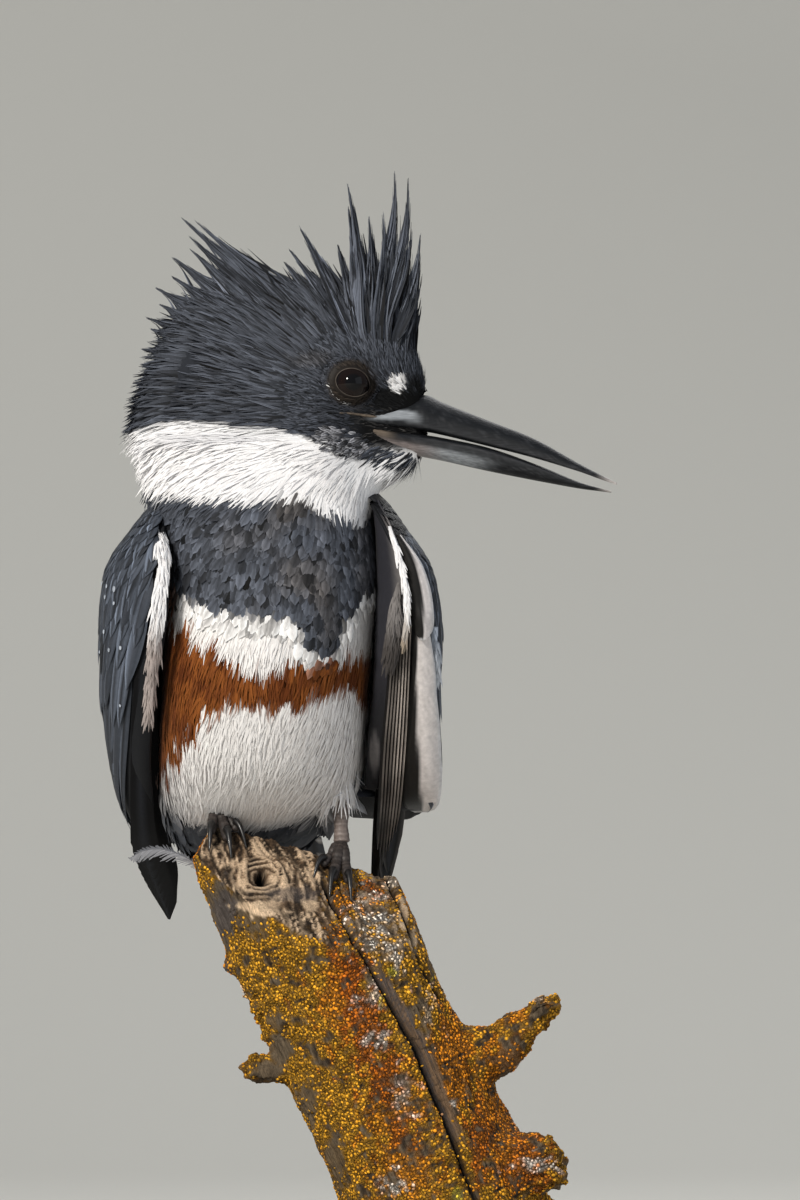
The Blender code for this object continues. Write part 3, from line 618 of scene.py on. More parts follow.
def head_colour(local):
    """Slate crown and cheeks, black lores, brown round the eye, and the white spot before it."""
    x, z = local[..., 0], local[..., 2]
    shade = (1 - ramp(z, 270, 284)) * ramp(x, -12, 8)           # the lower face is nearly black
    colour = dye(SLATE, SLATE_DARK, 0.9 * shade)
    side = np.abs(local[..., 1])
    rough = 1 + 0.25 * grain(local, 2.2)
    ring = 1 - ramp(np.hypot((x - RING_AT[0]) / 1.15, z - RING_AT[1]) * rough, 4.6, 7.4)
    colour = dye(colour, EYE_BROWN, 0.85 * ring)
    below = z - LORES_AT[1] + 0.1 * (x - 15)
    lores = 1 - ramp(np.hypot((x - LORES_AT[0]) / 1.9, below) * rough, 2.9, 4.9)
    bill_rim = band(x, 19.4, 26, 0.8) * band(z, 271, 281, 2.0) * ramp(rough, 0.8, 1.0)
    lores = np.maximum(lores * ramp(x, 4, 10), bill_rim)
    colour = dye(colour, 0.4 * np.array(BLACK), 0.99 * lores)
    colour = dye(colour, SLATE_BROWN, 0.35 * band(z, 283.5, 287.5, 1.5) * band(x, -14, -1, 3))
    drop = (z - 278.6) * 0.16                                   # the white spot widens upwards
    away = np.hypot((x - SPOT_AT[0]) / (0.84 + drop * 0.4), (z - SPOT_AT[1]) / 1.1)
    spot = 1 - ramp(away * rough, 2.1, 2.8)
    return dye(colour, WHITE, spot * ramp(side, 1.2, 2.4))


def chin_colour(colour, local):
    """White chin, grey between the slate whiskers, and black in the corner of the mouth."""
    x, z = local[..., 0], local[..., 2]
    whiskers = band(z - 0.18 * (x - 8), 257.5, 263.0, 1.2) * ramp(x, 1, 5) * (1 - ramp(x, 23, 26))
    colour = dye(colour, SLATE, 0.5 * whiskers)
    gape = band(z, 261.5, 270.8, 0.8) * ramp(x, 5.0, 9.0)
    return dye(colour, BLACK, gape)


def plumage(points):
    """The colour of the plumage at each place of the head, neck or trunk, with painted shade low on the
    belly.
    """
    x, z = points[..., 0] / MM, points[..., 2] / MM + 1.3 * grain(points, 5 * MM)
    local = head_frame(points)
    body = body_frame(points)
    behind = ramp(body[..., 1], 8, 20)                  # 0 on the breast, 1 on the back
    flank = ramp(np.abs(body[..., 0]), 24, 30)
    frayed = z + (2.4 + 9 * ramp(-x, 33, 38)) * grain(points, 3.2 * MM, 7.0)
    rufous = band(frayed, curve_through(x, RUFOUS_LOW), curve_through(x, RUFOUS_TOP), 1.2)
    fleck = grain(points, 6 * MM, 8.0) + 0.6 * grain(points, 2 * MM, 9.0)
    rust = dye(RUFOUS, RUFOUS_BRIGHT, ramp(fleck, -0.5, 0.5))
    colour = dye(BELLY_WHITE, rust, rufous * (1 - behind))
    patch = band(z, 217, 226, 1.5) * (1 - ramp(x, -45, -43))
    colour = dye(colour, rust, 0.9 * patch * (1 - behind))
    # painted shade: the lowest belly is greyed a little in front and fully towards the rear
    low_belly_shade = (1 - ramp(z, 156, 167)) * (0.15 + 0.85 * np.maximum(ramp(-x, 38, 46), behind))
    colour = dye(colour, BELLY_SHADE_GREY, low_belly_shade)
    breast = ramp(z, curve_through(x, BREAST_LOW) - 0.8, curve_through(x, BREAST_LOW) + 0.8)
    worn = ramp(grain(points, 12 * MM, 3.0), -0.1, 0.5) * (1 - ramp(np.abs(x + 12), 12, 24))
    colour = dye(colour, dye(SLATE, SLATE_BROWN, 0.75 * worn), breast)
    colour = dye(colour, SLATE, behind)
    collar = ramp(z, curve_through(x, COLLAR_LOW) - 0.6, curve_through(x, COLLAR_LOW) + 0.6)
    colour = dye(colour, WHITE, collar)
    top = ramp(z, curve_through(x, COLLAR_TOP) - 0.6, curve_through(x, COLLAR_TOP) + 0.6)
    colour = dye(colour, head_colour(local), top)
    colour = chin_colour(colour, local)
    return colour * (1 - 0.12 * flank[..., None] * (1 - collar[..., None]))


skin_tones = plumage(skin_at)
# painted shade: the skin shows between the tufts, so it is painted darker than the plumage, least where that
# is white
paint(skin.data, skin_tones * mix(0.35, 0.92, ramp(skin_tones[:, 1:2], 0.2, 0.6)))
dress(skin.data, skin_material)
settle(skin, "plumage", *FLESH)

# %% [markdown]
# ## The lie of the feathers
# Feathers point back from the bill, up into the crest, down the breast and outwards over the flanks. A few
# guide arrows say so. Between them the direction is a weighted mean of the arrows, pressed onto the skin.

# %% Guide arrows
# on both sides of the head: x and z in millimetres, then the angle of the feathers from the bill's way
HEAD_FLOW = (
    (21.9, 295.8, 86), (18.9, 307.6, 88), (14.2, 301.7, 94), (14.2, 289.8, 97), (8.3, 307.6, 100),
    (8.3, 289.8, 112), (2.3, 301.7, 112), (-3.6, 307.6, 120), (-3.6, 295.8, 125), (-9.5, 313.5, 127),
    (-9.5, 295.8, 133), (-15.4, 307.6, 143), (-15.4, 289.8, 140), (-21.3, 298.7, 142), (-27.3, 307.6, 143),
    (-36.1, 316.5, 146), (-27.3, 289.8, 150), (-39.1, 301.7, 155), (-45.0, 295.8, 168), (-51.0, 283.9, 175),
    (-39.1, 283.9, 165), (-27.3, 278.0, 168), (-15.4, 281.0, 158), (-45.0, 275.0, 184), (-33.2, 272.1, 186),
    (-15.4, 272.1, 178), (-3.6, 272.1, 176), (-3.6, 286.9, 140), (11.2, 285.1, 104), (18.9, 283.9, 95),
    (21.5, 276.0, 130), (14.0, 274.0, 165), (8.3, 270.3, 178), (2.3, 265.5, 192), (-21.3, 266.2, 190),
    (-51.0, 263.2, 212), (-46.0, 254.3, 220), (-27.3, 254.0, 232), (-9.5, 254.3, 248), (-1.0, 248.4, 262),
    (8.3, 254.3, 238), (19.0, 258.0, 218), (11.0, 262.0, 205),
)
FLOW_HALF_WIDTH = 13.0
# place in millimetres, as in the world, then the direction that the feathers point there
GUIDES = (
    ((-60, 0, 262), (-1, 0.1, -0.5)), ((-2, -22, 246), (0.05, 0, -1)), ((-20, -28, 242), (-0.12, 0, -1)),
    ((-42, -20, 242), (-0.5, 0, -0.9)), ((-20, 28, 244), (0, 0.2, -1)), ((-42, 22, 246), (-0.6, 0.2, -0.9)),
    ((-20, -32, 225), (0, 0, -1)), ((-42, -18, 225), (-0.2, 0, -1)), ((4, -20, 225), (0.12, 0, -1)),
    ((-20, -32, 200), (0, 0, -1)), ((-44, -18, 200), (-0.5, 0, -0.9)), ((6, -18, 200), (-0.15, 0, -1)),
    ((-20, -24, 180), (-0.12, 0.1, -1)), ((-44, -10, 180), (-0.35, 0, -1)), ((6, -12, 180), (-0.35, 0, -1)),
    ((-20, -5, 163), (-0.2, 0.6, -0.75)), ((-40, 0, 165), (-0.3, 0.3, -0.9)),
    ((0, 0, 168), (-0.3, 0.3, -0.9)),
    ((-18, 40, 220), (0, 0.1, -1)), ((-18, 46, 190), (0, 0.15, -1)), ((-18, 50, 165), (0, 0.5, -1)),
    ((-48, 20, 200), (0, 0.3, -1)), ((12, 20, 200), (0, 0.3, -1)),
) + tuple(
    ((x, side * FLOW_HALF_WIDTH, z), (math.cos(math.radians(turn)), 0, math.sin(math.radians(turn))))
    for x, z, turn in HEAD_FLOW for side in (-1, 1)
)
guide_places = np.array([place for place, _ in GUIDES], float) * MM
guide_ways = unit(np.array([way for _, way in GUIDES], float))
print(len(GUIDES), "guide arrows")


def lie(points, normals):
    """Unit direction of the feathers at each place of the skin."""
    away = np.linalg.norm(points[:, None, :] - guide_places[None], axis=-1)
    weight = 1.0 / (away + 2 * MM) ** 3
    return square_to((weight[..., None] * guide_ways[None]).sum(axis=1), normals)


# %% [markdown]
# ## Planting the coat
# Roots are scattered over the skin by area and thinned to an even spacing. Each remembers its place, the
# skin's outward direction and its spot on the unwrap. None grows into a wing, a leg or the branch.

# %% Scatter roots over the skin
BLOCKERS = [n for n in frame["nodes"] if n.startswith(("wing_", "leg_", "claw_", "tail", "perch", "bill_"))]


def search_tree(meshes):
    """One search tree of several meshes."""
    verts, faces = [], []
    for mesh in meshes:
        base = len(verts)
        verts += [v.co.copy() for v in mesh.vertices]
        faces += [[base + i for i in p.vertices] for p in mesh.polygons]
    return BVHTree.FromPolygons(verts, faces)


def outside_by(tree, points):
    """Distance of each point from the solids, negative inside them."""
    out = np.empty(len(points))
    for i, p in enumerate(points):
        near, normal, _, distance = tree.find_nearest(p)
        out[i] = distance if (Vector(p) - near).dot(normal) >= 0 else -distance
    return out


def skin_triangles():
    mesh = skin.data
    mesh.calc_loop_triangles()
    count = len(mesh.loop_triangles)
    corners, loops = np.zeros(count * 3, np.int32), np.zeros(count * 3, np.int32)
    mesh.loop_triangles.foreach_get("vertices", corners)
    mesh.loop_triangles.foreach_get("loops", loops)
    uv = np.zeros(len(mesh.loops) * 2, np.float32)
    mesh.uv_layers["OFBake"].data.foreach_get("uv", uv)
    at, out = vertex_array(mesh), vertex_array(mesh, "normal")
    corners, loops = corners.reshape(-1, 3), loops.reshape(-1, 3)
    return at[corners], out[corners], uv.reshape(-1, 2)[loops]


tri_at, tri_out, tri_uv = skin_triangles()
tri_area = np.linalg.norm(np.cross(tri_at[:, 1] - tri_at[:, 0], tri_at[:, 2] - tri_at[:, 0]), axis=1) / 2
tri_middle = tri_at.mean(axis=1)
blocking = search_tree([frame["nodes"][name].data for name in BLOCKERS])
tri_clear = outside_by(blocking, tri_middle)


def scatter(wanted, spacing, seed, clearance=0.4 * MM):
    """Roots on the wanted triangles, about spacing apart: place, outward direction and map spot."""
    rng = np.random.default_rng(seed)
    chosen = np.flatnonzero(wanted & (tri_clear > clearance))
    area = tri_area[chosen]
    count = int(area.sum() / spacing ** 2 * 3.0)
    pick = chosen[rng.choice(len(chosen), count, p=area / area.sum())]
    a, b = rng.random(count), rng.random(count)
    over = a + b > 1
    a[over], b[over] = 1 - a[over], 1 - b[over]
    w = np.stack([1 - a - b, a, b], axis=1)[..., None]
    at = (tri_at[pick] * w).sum(1)
    cell = np.floor(at / spacing).astype(np.int64)
    key = (cell[:, 0] * 4099 + cell[:, 1]) * 4099 + cell[:, 2]
    _, first = np.unique(key, return_index=True)
    first.sort()
    return at[first], unit((tri_out[pick] * w).sum(1))[first], (tri_uv[pick] * w).sum(1)[first], rng


print("skin area", round(tri_area.sum() * 1e4, 1), "cm2")

# %% [markdown]
# ## One tuft
# A tuft is a small sheet, three points wide, roofed a little along its shaft. It leaves the skin at a low
# angle and bends back down. Silky tufts taper like hair, and scaly ones are rounded.

# %% Shape and colour of tufts
BAKE_PATCH = 0.003
ASK = 0.7                         # a tuft takes the colour of the place this far along it
ACROSS = np.array([-1.0, 0.0, 1.0])


def outline(kind, along):
    """Share of the full width at each place along a tuft."""
    if kind == "scale":
        bow = np.sqrt(np.clip(1 - (2 * along - 0.9) ** 2 * 0.82, 0.02, 1))
        return bow * (1 - 0.75 * ramp(along, 0.8, 1.02))
    if kind == "lance":
        return np.clip(1.15 * (1 - along) ** 0.7, 0.06, 1)
    return np.clip(1.05 - along ** 1.6, 0.10, 1)


def tufts(roots, out, way, length, width, kind, rows=4, lift=0.12, curl=0.10, roof=0.18, sink_in=0.3 * MM):
    """Points of many tufts, as (tufts, rows, 3, 3). lift is one number, or one for each tuft."""
    along = np.linspace(0, 1, rows)[None, :, None]
    side = unit(np.cross(out, way))
    reach = length[:, None, None]
    rise = np.reshape(lift, (-1, 1, 1)) * reach * along - curl * reach * along ** 2
    middle = roots[:, None] + way[:, None] * reach * along + out[:, None] * (rise - sink_in * (1 - along))
    half = (width[:, None] / 2 * outline(kind, along[..., 0]))[:, :, None, None]
    points = middle[:, :, None] + side[:, None, None] * ACROSS[None, None, :, None] * half
    ridge = (1 - np.abs(ACROSS))[None, None, :, None] * half * 2 * roof
    return points + out[:, None, None] * ridge


def tuft_colours(points, base, rng, shaft=0.0, edge=0.0, tip=0.0, root=0.35, variety=0.12):
    """Painted shade darkening the root, optional dark shaft, pale or dark edge and tip, and a little luck for
    each tuft.
    """
    n, rows = points.shape[:2]
    along = np.linspace(0, 1, rows)[None, :, None, None]
    across = np.abs(ACROSS)[None, None, :, None]
    luck = 1 + variety * rng.standard_normal(n)[:, None, None, None]
    # root darkens each tuft towards the skin: painted shade
    shade = (1 - root * (1 - ramp(along, 0.0, 0.45))) * (1 - shaft * (1 - across) * (1 - 0.3 * along))
    shade = shade * (1 + edge * across) * (1 + tip * ramp(along, 0.7, 1.0))
    return np.clip(base[:, None, None] * luck * shade, 0, 1)


def bake_spots(uv, rows):
    """A tiny patch of the skin's unwrap for each tuft, at its root."""
    u = ACROSS[None, None, :] * BAKE_PATCH / 2 + uv[:, None, None, 0]
    v = (np.linspace(-0.5, 0.5, rows)[None, :, None] * BAKE_PATCH) + uv[:, None, None, 1]
    u, v = np.broadcast_arrays(u, v)
    return np.clip(np.stack([u, v], axis=-1), 0.0005, 0.9995)


def coat(name, wanted, spacing, length, width, kind, seed, finish=plume_material, rows=4, spread=0.18,
         lift=0.12, curl=0.10, roof=0.18, dark_share=0.0, tint=None, **looks):
    """One piece of the coat: tufts on the wanted triangles. Spacing, length and width are in millimetres."""
    at, out, uv, rng = scatter(wanted, spacing * MM, seed)
    way = lie(at, out)
    way = unit(way + np.cross(out, way) * (spread * rng.standard_normal(len(at)))[:, None])
    size = 1 + 0.18 * rng.standard_normal(len(at)).clip(-2, 2)
    long, wide = length * MM * size, width * MM * (0.6 + 0.4 * size)
    stand = lift * (1 + 0.35 * rng.standard_normal(len(at)).clip(-2, 2))
    points = tufts(at, out, way, long, wide, kind, rows, stand, curl, roof)
    base = plumage(at + way * (long * ASK)[:, None]) if tint is None else np.broadcast_to(tint, at.shape)
    base = dye(base, BLACK, 0.7 * (rng.random(len(at)) < dark_share) * (1 - ramp(base[:, 1], 0.2, 0.5)))
    colours = tuft_colours(points, base, rng, **looks)
    made = sheet_mesh(name, points, colours, finish, bake_uv=bake_spots(uv, rows))
    return settle(made, "plumage")


# %% [markdown]
# ## Which tufts grow where
# The head wears narrow feathers, tiny round the bill and eye. The collar is loose white hair, the breast
# band a shield of small round scales, and the belly long silky down. Each region is a test on the skin.

# %% Regions of the skin
head_local = head_frame(tri_middle)
body_local = body_frame(tri_middle)
mid_x, mid_z = tri_middle[:, 0] / MM, tri_middle[:, 2] / MM
on_back = body_local[:, 1] > 12
over_collar = mid_z > curve_through(mid_x, COLLAR_TOP)
in_collar = ~over_collar & (mid_z > curve_through(mid_x, COLLAR_LOW))
on_face = over_collar & (face_share(tri_middle) > 0.25)
on_crown = over_collar & ~on_face
below = ~over_collar & ~in_collar
breast_band = below & ~on_back & (mid_z > curve_through(mid_x, BREAST_LOW) - 1)
on_belly = below & ~on_back & ~breast_band
back = below & on_back
near_eye = np.minimum(np.linalg.norm(tri_middle - np.array(eye_right), axis=1),
                      np.linalg.norm(tri_middle - np.array(eye_left), axis=1))
on_face &= near_eye > EYE_RADIUS
GAPE_TOP = ((1, 270.4), (9, 271.6), (26, 271.6))
GAPE_LOW = ((1, 269.6), (6, 266.5), (9, 264.2), (13, 262.0), (26, 258.6))
in_gape = (head_local[:, 0] > 6) & (head_local[:, 2] < curve_through(head_local[:, 0], GAPE_TOP))
in_gape &= head_local[:, 2] > curve_through(head_local[:, 0], GAPE_LOW)
on_face &= ~in_gape
in_collar &= ~in_gape
print("triangles of face, crown, collar, breast, belly and back:",
      *(int(wanted.sum()) for wanted in (on_face, on_crown, in_collar, breast_band, on_belly, back)))

# %% Head
coat("coat_face", on_face, 0.62, 2.6, 0.52, "lance", 11, lift=0.24, curl=0.12,
     root=0.7, shaft=0.2, tip=0.2, variety=0.36, dark_share=0.16)
coat("coat_crown", on_crown, 0.76, 8.5, 0.74, "lance", 12, rows=5, lift=0.17, curl=0.12, spread=0.12,
     root=0.65, shaft=0.45, edge=0.15, tip=0.15, variety=0.38, dark_share=0.22)

# %% Collar, breast, belly and back
coat("coat_collar", in_collar, 0.82, 7.5, 0.95, "hair", 13, silk_material, lift=0.11, curl=0.08,
     spread=0.17, roof=0.05, variety=0.04, root=0.05)
coat("coat_breast", breast_band, 1.3, 4.8, 2.6, "scale", 14, rows=5, lift=0.18, curl=0.12, spread=0.14,
     root=0.7, shaft=0.4, edge=0.45, tip=0.15, variety=0.34, dark_share=0.18)
coat("coat_belly", on_belly, 0.84, 7.5, 0.85, "hair", 15, silk_material, lift=0.07, curl=0.06,
     spread=0.13, roof=0.05, variety=0.05, root=0.05)
coat("coat_back", back, 1.9, 9.0, 4.6, "scale", 16, rows=5, lift=0.12, curl=0.08,
     shaft=0.5, edge=0.1, tip=-0.2, variety=0.12)

# %% [markdown]
# Under the corner of the mouth sit small dark scales with pale rims, the end of the moustache. Below the
# bill a sparse fringe of slate whiskers hangs over the white chin.

# %% Moustache and whiskers
face_x, face_z = head_local[:, 0], head_local[:, 2]
in_moustache = ~in_gape & (np.hypot((face_x - 4) / 6.5, (face_z - 262.9 + 0.22 * (face_x - 4)) / 3.1) < 1)
bill_edge = curve_through(face_x, GAPE_LOW)
in_whiskers = ~in_gape & (np.abs(face_z - bill_edge + 1.7) < 2.0) & (face_x > 6) & (face_x < 25)
MOUSTACHE, MOUTH_BLACK = (0.085, 0.085, 0.092), (0.040, 0.038, 0.037)
coat("coat_moustache", in_moustache, 0.75, 3.2, 0.95, "scale", 17, rows=5, lift=0.24, curl=0.1, spread=0.25,
     tint=MOUSTACHE, root=0.8, shaft=0.5, edge=3.6, variety=0.45, dark_share=0.3)
coat("coat_mouth_corner", in_gape, 0.60, 3.0, 0.42, "lance", 19, lift=0.10, curl=0.06, spread=0.2,
     tint=MOUTH_BLACK, root=0.5, shaft=0.3, variety=0.5, dark_share=0.6)
coat("coat_whiskers", in_whiskers, 0.50, 5.2, 0.52, "lance", 18, rows=5, lift=0.17, curl=0.08, spread=0.14,
     tint=SLATE, root=0.2, shaft=0.3, tip=-0.3, variety=0.4, dark_share=0.45)

# %% [markdown]
# ## The crest
# The crest is a fan of long, loose feathers that stick together in pointed locks. Each lock has a foot on
# the crown and a tip in the air. Feathers root all over the crown, lean towards the nearest lock and end
# somewhere along it. Each blade is turned a little on its path, as in a wind-ruffled crest.

# %% Locks of the crest
# foot x and z, tip x and z, half width at the foot, and how far the tip leans to the left, in millimetres
LOCKS = (
    (21.6, 298, 22.3, 319.4, 1.2, 0.5), (20.6, 300, 19.2, 334.5, 1.7, -1.0),
    (17.6, 302, 15.1, 336.3, 1.7, 1.0), (14.8, 303, 12.1, 326, 1.5, -1.5),
    (10.6, 303, 7.9, 324.6, 1.6, 1.5), (8.6, 303, 2.3, 333.2, 1.7, 0),
    (5.6, 302, 2.6, 326.8, 1.6, -1.5), (3.3, 301, -0.6, 316.6, 1.7, 1.5),
    (0.3, 301.5, -11, 321.6, 1.8, 0.5), (-3, 301, -13.5, 315.4, 1.7, -1.5),
    (-6, 300.5, -15.4, 312.0, 1.8, 1.5), (-10, 302, -18.7, 310.2, 1.8, -0.5),
    (-13.8, 302.5, -22.4, 310.6, 1.8, 0.8), (-18, 304, -39.7, 323.4, 2.0, 0.6),
    (-21, 303, -43.2, 323.9, 2.2, -0.6), (-22.5, 300.5, -41.5, 319.0, 2.0, 0.8),
    (-24, 299.5, -41.0, 315.6, 2.0, -1.2), (-27, 299, -46.1, 313.3, 1.9, 0.8),
    (-29, 296.5, -45.9, 308.0, 2.0, -1.0), (-32, 293.5, -50.5, 304.9, 2.0, 0.8),
    (-34, 292, -49.3, 300.4, 1.9, -1), (-36, 290, -53.3, 297.0, 2.0, 0.8),
    (-37, 287.6, -51.8, 293.8, 1.9, -0.8), (-38, 285.4, -54.6, 288.3, 2.0, 0.8),
    (-39, 282.6, -54.5, 284.0, 1.9, -0.8), (-40, 279.3, -56.9, 279.0, 2.0, 0.8),
    (-41, 275.6, -57.8, 272.6, 2.0, -0.8), (-42, 271.6, -60.0, 265.6, 2.0, 0.5),
)
lock_foot = np.array([(row[0], 0, row[1]) for row in LOCKS], float)
lock_tip = np.array([(row[2], row[5], row[3]) for row in LOCKS], float)
lock_half = np.array([row[4] for row in LOCKS])
FAN_SOURCE = np.array([4.0, 286.0])            # the middle that the fan opens from
CREST_ROWS = 9
DARK_SHARE = 0.30                              # so many crest feathers are painted nearly black, as painted shade between the strands


def fan_angle(spots):
    """Angle of each x and z round the fan's middle."""
    return np.arctan2(spots[..., 1] - FAN_SOURCE[1], spots[..., 0] - FAN_SOURCE[0]) % (2 * math.pi)


def blades(paths, sides, half, columns=ACROSS, roof=0.15):
    """Feather sheets along paths (n, rows, 3), with their side directions and half widths (n, rows)."""
    face = unit(np.cross(sides, np.gradient(paths, axis=1)))
    points = paths[:, :, None] + sides[:, :, None] * columns[None, None, :, None] * half[:, :, None, None]
    ridge = (1 - np.abs(columns))[None, None, :, None] * half[:, :, None, None] * roof * 2
    return points + face[:, :, None] * ridge


def bezier(p0, p1, p2, p3, rows):
    t = np.linspace(0, 1, rows)[None, :, None]
    p0, p1, p2, p3 = (p[:, None] for p in (p0, p1, p2, p3))
    return (1 - t) ** 3 * p0 + 3 * t * (1 - t) ** 2 * p1 + 3 * t * t * (1 - t) * p2 + t ** 3 * p3


def crest_ends(root, way, reach, gather, rng):
    """The end of each blade, somewhere along the lock that it leans to, and the way up that lock."""
    n = len(root)
    middle = (lock_foot + lock_tip)[:, [0, 2]] / 2
    turn = fan_angle(root[:, [0, 2]] + way[:, [0, 2]] * 14)
    apart = np.abs(turn[:, None] - fan_angle(middle)[None]) + 0.05 * rng.standard_normal((n, len(LOCKS)))
    lock = np.argmin(apart, axis=1)
    foot, tip, half = lock_foot[lock], lock_tip[lock], lock_half[lock]
    up = unit(tip - foot)
    share = reach[0] + (reach[1] - reach[0]) * rng.random(n) ** 0.75
    aside = np.stack([-up[:, 2], np.zeros(n), up[:, 0]], axis=-1)
    offset = np.clip(((root - foot) * aside).sum(-1) / 6, -1, 1) * 0.8 + 0.45 * rng.standard_normal(n)
    slim = np.clip(1.06 - share, 0.03, 1) ** 0.8
    end = foot + (tip - foot) * share[:, None] + aside * (offset * half * slim * gather)[:, None]
    end[:, 1] += root[:, 1] * (0.75 - 0.6 * share) + 0.5 * rng.standard_normal(n) * slim
    return end, up


def crest(name, wanted, spacing, seed, reach, width, gather=1.0, painted_light=2.1):
    """Long narrow blades from the crown that gather into the locks. Lengths are in millimetres."""
    at, out, uv, rng = scatter(wanted, spacing * MM, seed, clearance=-1)
    n = len(at)
    root = head_frame(at - out * 0.5 * MM)
    way = unit(head_frame(at + lie(at, out) * MM) - head_frame(at))
    end, up = crest_ends(root, way, reach, gather, rng)
    length = np.linalg.norm(end - root, axis=1)[:, None]
    paths = bezier(root, root + way * length * 0.4, end - up * length * 0.35, end, CREST_ROWS)
    along = np.gradient(paths, axis=1)
    sides = unit(np.cross(along, np.broadcast_to((0, 1.0, 0), along.shape)))
    twist = (0.45 * rng.standard_normal(n))[:, None, None]
    sides = unit(sides * np.cos(twist) + unit(np.cross(unit(along), sides)) * np.sin(twist))
    t = np.linspace(0, 1, CREST_ROWS)
    taper = (np.minimum(1, 0.55 + 2 * t) * (1 - ramp(t, 0.3, 1.08)) + 0.05)[None]
    half_width = width / 2 * (0.65 + 0.7 * rng.random(n))[:, None] * taper
    points = head_place(blades(paths, sides, half_width))
    # the slate is scaled up on the top locks as a painted highlight and down on the under layer as painted
    # shade
    dark = rng.random(n) < DARK_SHARE
    base = dye(np.array(SLATE) * painted_light, BLACK, 0.8 * dark + 0.2 * rng.random(n) * ~dark)
    colours = tuft_colours(points, base, rng, shaft=0.6, edge=0.25, tip=-0.45, root=0.5, variety=0.32)
    made = sheet_mesh(name, points, colours, plume_material, bake_uv=bake_spots(uv, CREST_ROWS))
    return settle(made, "plumage")


CREST_EDGE = ((-60, 262), (-34, 279), (-8, 290), (3, 289), (12, 285), (25, 284))
on_top = over_collar & (head_local[:, 2] > curve_through(head_local[:, 0], CREST_EDGE))
# the top locks carry a painted highlight, the under layer painted shade
crest("crest_locks", on_top, 0.92, 21, (0.3, 1.02), 0.95)
crest("crest_under", on_top, 1.2, 22, (-0.2, 0.55), 1.3, gather=1.6, painted_light=0.7)

# %% [markdown]
# ## The eyes
# The eye is a wet, nearly black ball, set deep in the head, and a very smooth surface gives it its sharp
# highlight. Round it lies a thin bare ring of skin that narrows the ball to an almond: a ring of quads
# whose inner edge hugs the ball and whose outer edge dips under the feathers.

# %% Eyeballs and lids
OPENING = (4.6, 3.7)                  # half width and half height between the lids, in millimetres
EYE_SHIFT = np.array([1.0, 0.0, -0.45]) * MM
EYE_TILT = math.radians(-16)          # the front corner is the lower one
EYE_LOOKS = (0.30, 0.03)              # how far the eye looks ahead, and up
EYE_MESH = (40, 56)                   # rows and columns of the ball
LID_STEPS = 72
# each ring of the lids: share of the way out, height over the ball, and how pale it is
LID_RINGS = ((-0.06, -0.5, 0), (-0.03, 0.12, 0.4), (0.02, 0.30, 1), (0.07, 0.36, 0.5), (0.13, 0.32, 0),
             (0.4, 0.2, 0), (0.75, 0.0, 0), (1.1, -0.6, 0))
IRIS = (0.009, 0.005, 0.004)
LID_PALE = (0.100, 0.082, 0.068)
FRINGE_COUNT, FRINGE_WIDTH = 1500, 0.40


def eye_axes(side):
    """Outward, forward and upward directions of the eye on that side, turned with the head."""
    aim, rise = EYE_LOOKS
    out = Vector((aim - side * math.sin(HEAD_YAW), side * math.cos(HEAD_YAW), rise)).normalized()
    ahead = Vector((0, 0, 1)).cross(out).normalized() * (-side)
    up = out.cross(ahead).normalized() * (-side)
    return tuple(np.array(v) for v in (out, ahead, up))


def close_ends(obj):
    """Closes the open rims of a sheet that was wrapped into a tube, and points its faces outwards."""
    bm = bmesh.new()
    bm.from_mesh(obj.data)
    rims = [e for e in bm.edges if len(e.link_faces) == 1]
    bmesh.ops.holes_fill(bm, edges=rims, sides=0)
    bmesh.ops.recalc_face_normals(bm, faces=bm.faces)
    bm.to_mesh(obj.data)
    bm.free()
    obj.data.shade_smooth()


def eyeball(name, centre, side, solid):
    """A ball whose poles lie along the eye's axis, nearly black with a faint brown iris."""
    rows, cols = EYE_MESH
    out, ahead, up = eye_axes(side)
    polar = np.linspace(0.02, math.pi - 0.02, rows)[:, None]
    turn = (np.arange(cols) / cols * 2 * math.pi)[None]
    bulge = 1 + 0.04 * np.exp(-(polar / 0.5) ** 2)
    ball = (np.cos(polar) * bulge)[..., None] * out
    ball = ball + (np.sin(polar) * np.cos(turn))[..., None] * ahead * -side
    ball = ball + (np.sin(polar) * np.sin(turn))[..., None] * up
    points = (centre + ball * EYE_RADIUS)[None]
    iris = np.broadcast_to(band(polar, 0.45, 0.9, 0.08), (rows, cols))[None]
    made = sheet_mesh(name, points, dye(0.5 * np.array(BLACK), IRIS, iris), eye_material, wrap=True)
    close_ends(made)
    return settle(made, "eye", solid)


def on_lid(centre, side, turn, share, over):
    """Places on the lids: share runs from 0 at the opening to 1 at the feathers, over is in millimetres."""
    out, ahead, up = eye_axes(side)
    corner = 1 + 0.10 * np.clip(np.cos(turn), 0, 1) ** 12
    wide = (OPENING[0] * (1 - share) + (EYE_RADIUS / MM + 1.3) * share) * corner
    tall = OPENING[1] * (1 - share) + (EYE_RADIUS / MM + 0.9) * share
    a, b = wide * np.cos(turn), tall * np.sin(turn)
    across = a * math.cos(EYE_TILT) - b * math.sin(EYE_TILT)
    rise = a * math.sin(EYE_TILT) + b * math.cos(EYE_TILT)
    distance = np.minimum(np.hypot(across, rise), EYE_RADIUS / MM * 0.97)
    depth = np.sqrt((EYE_RADIUS / MM) ** 2 - distance ** 2) + over
    return centre + (across[..., None] * ahead + rise[..., None] * up + depth[..., None] * out) * MM


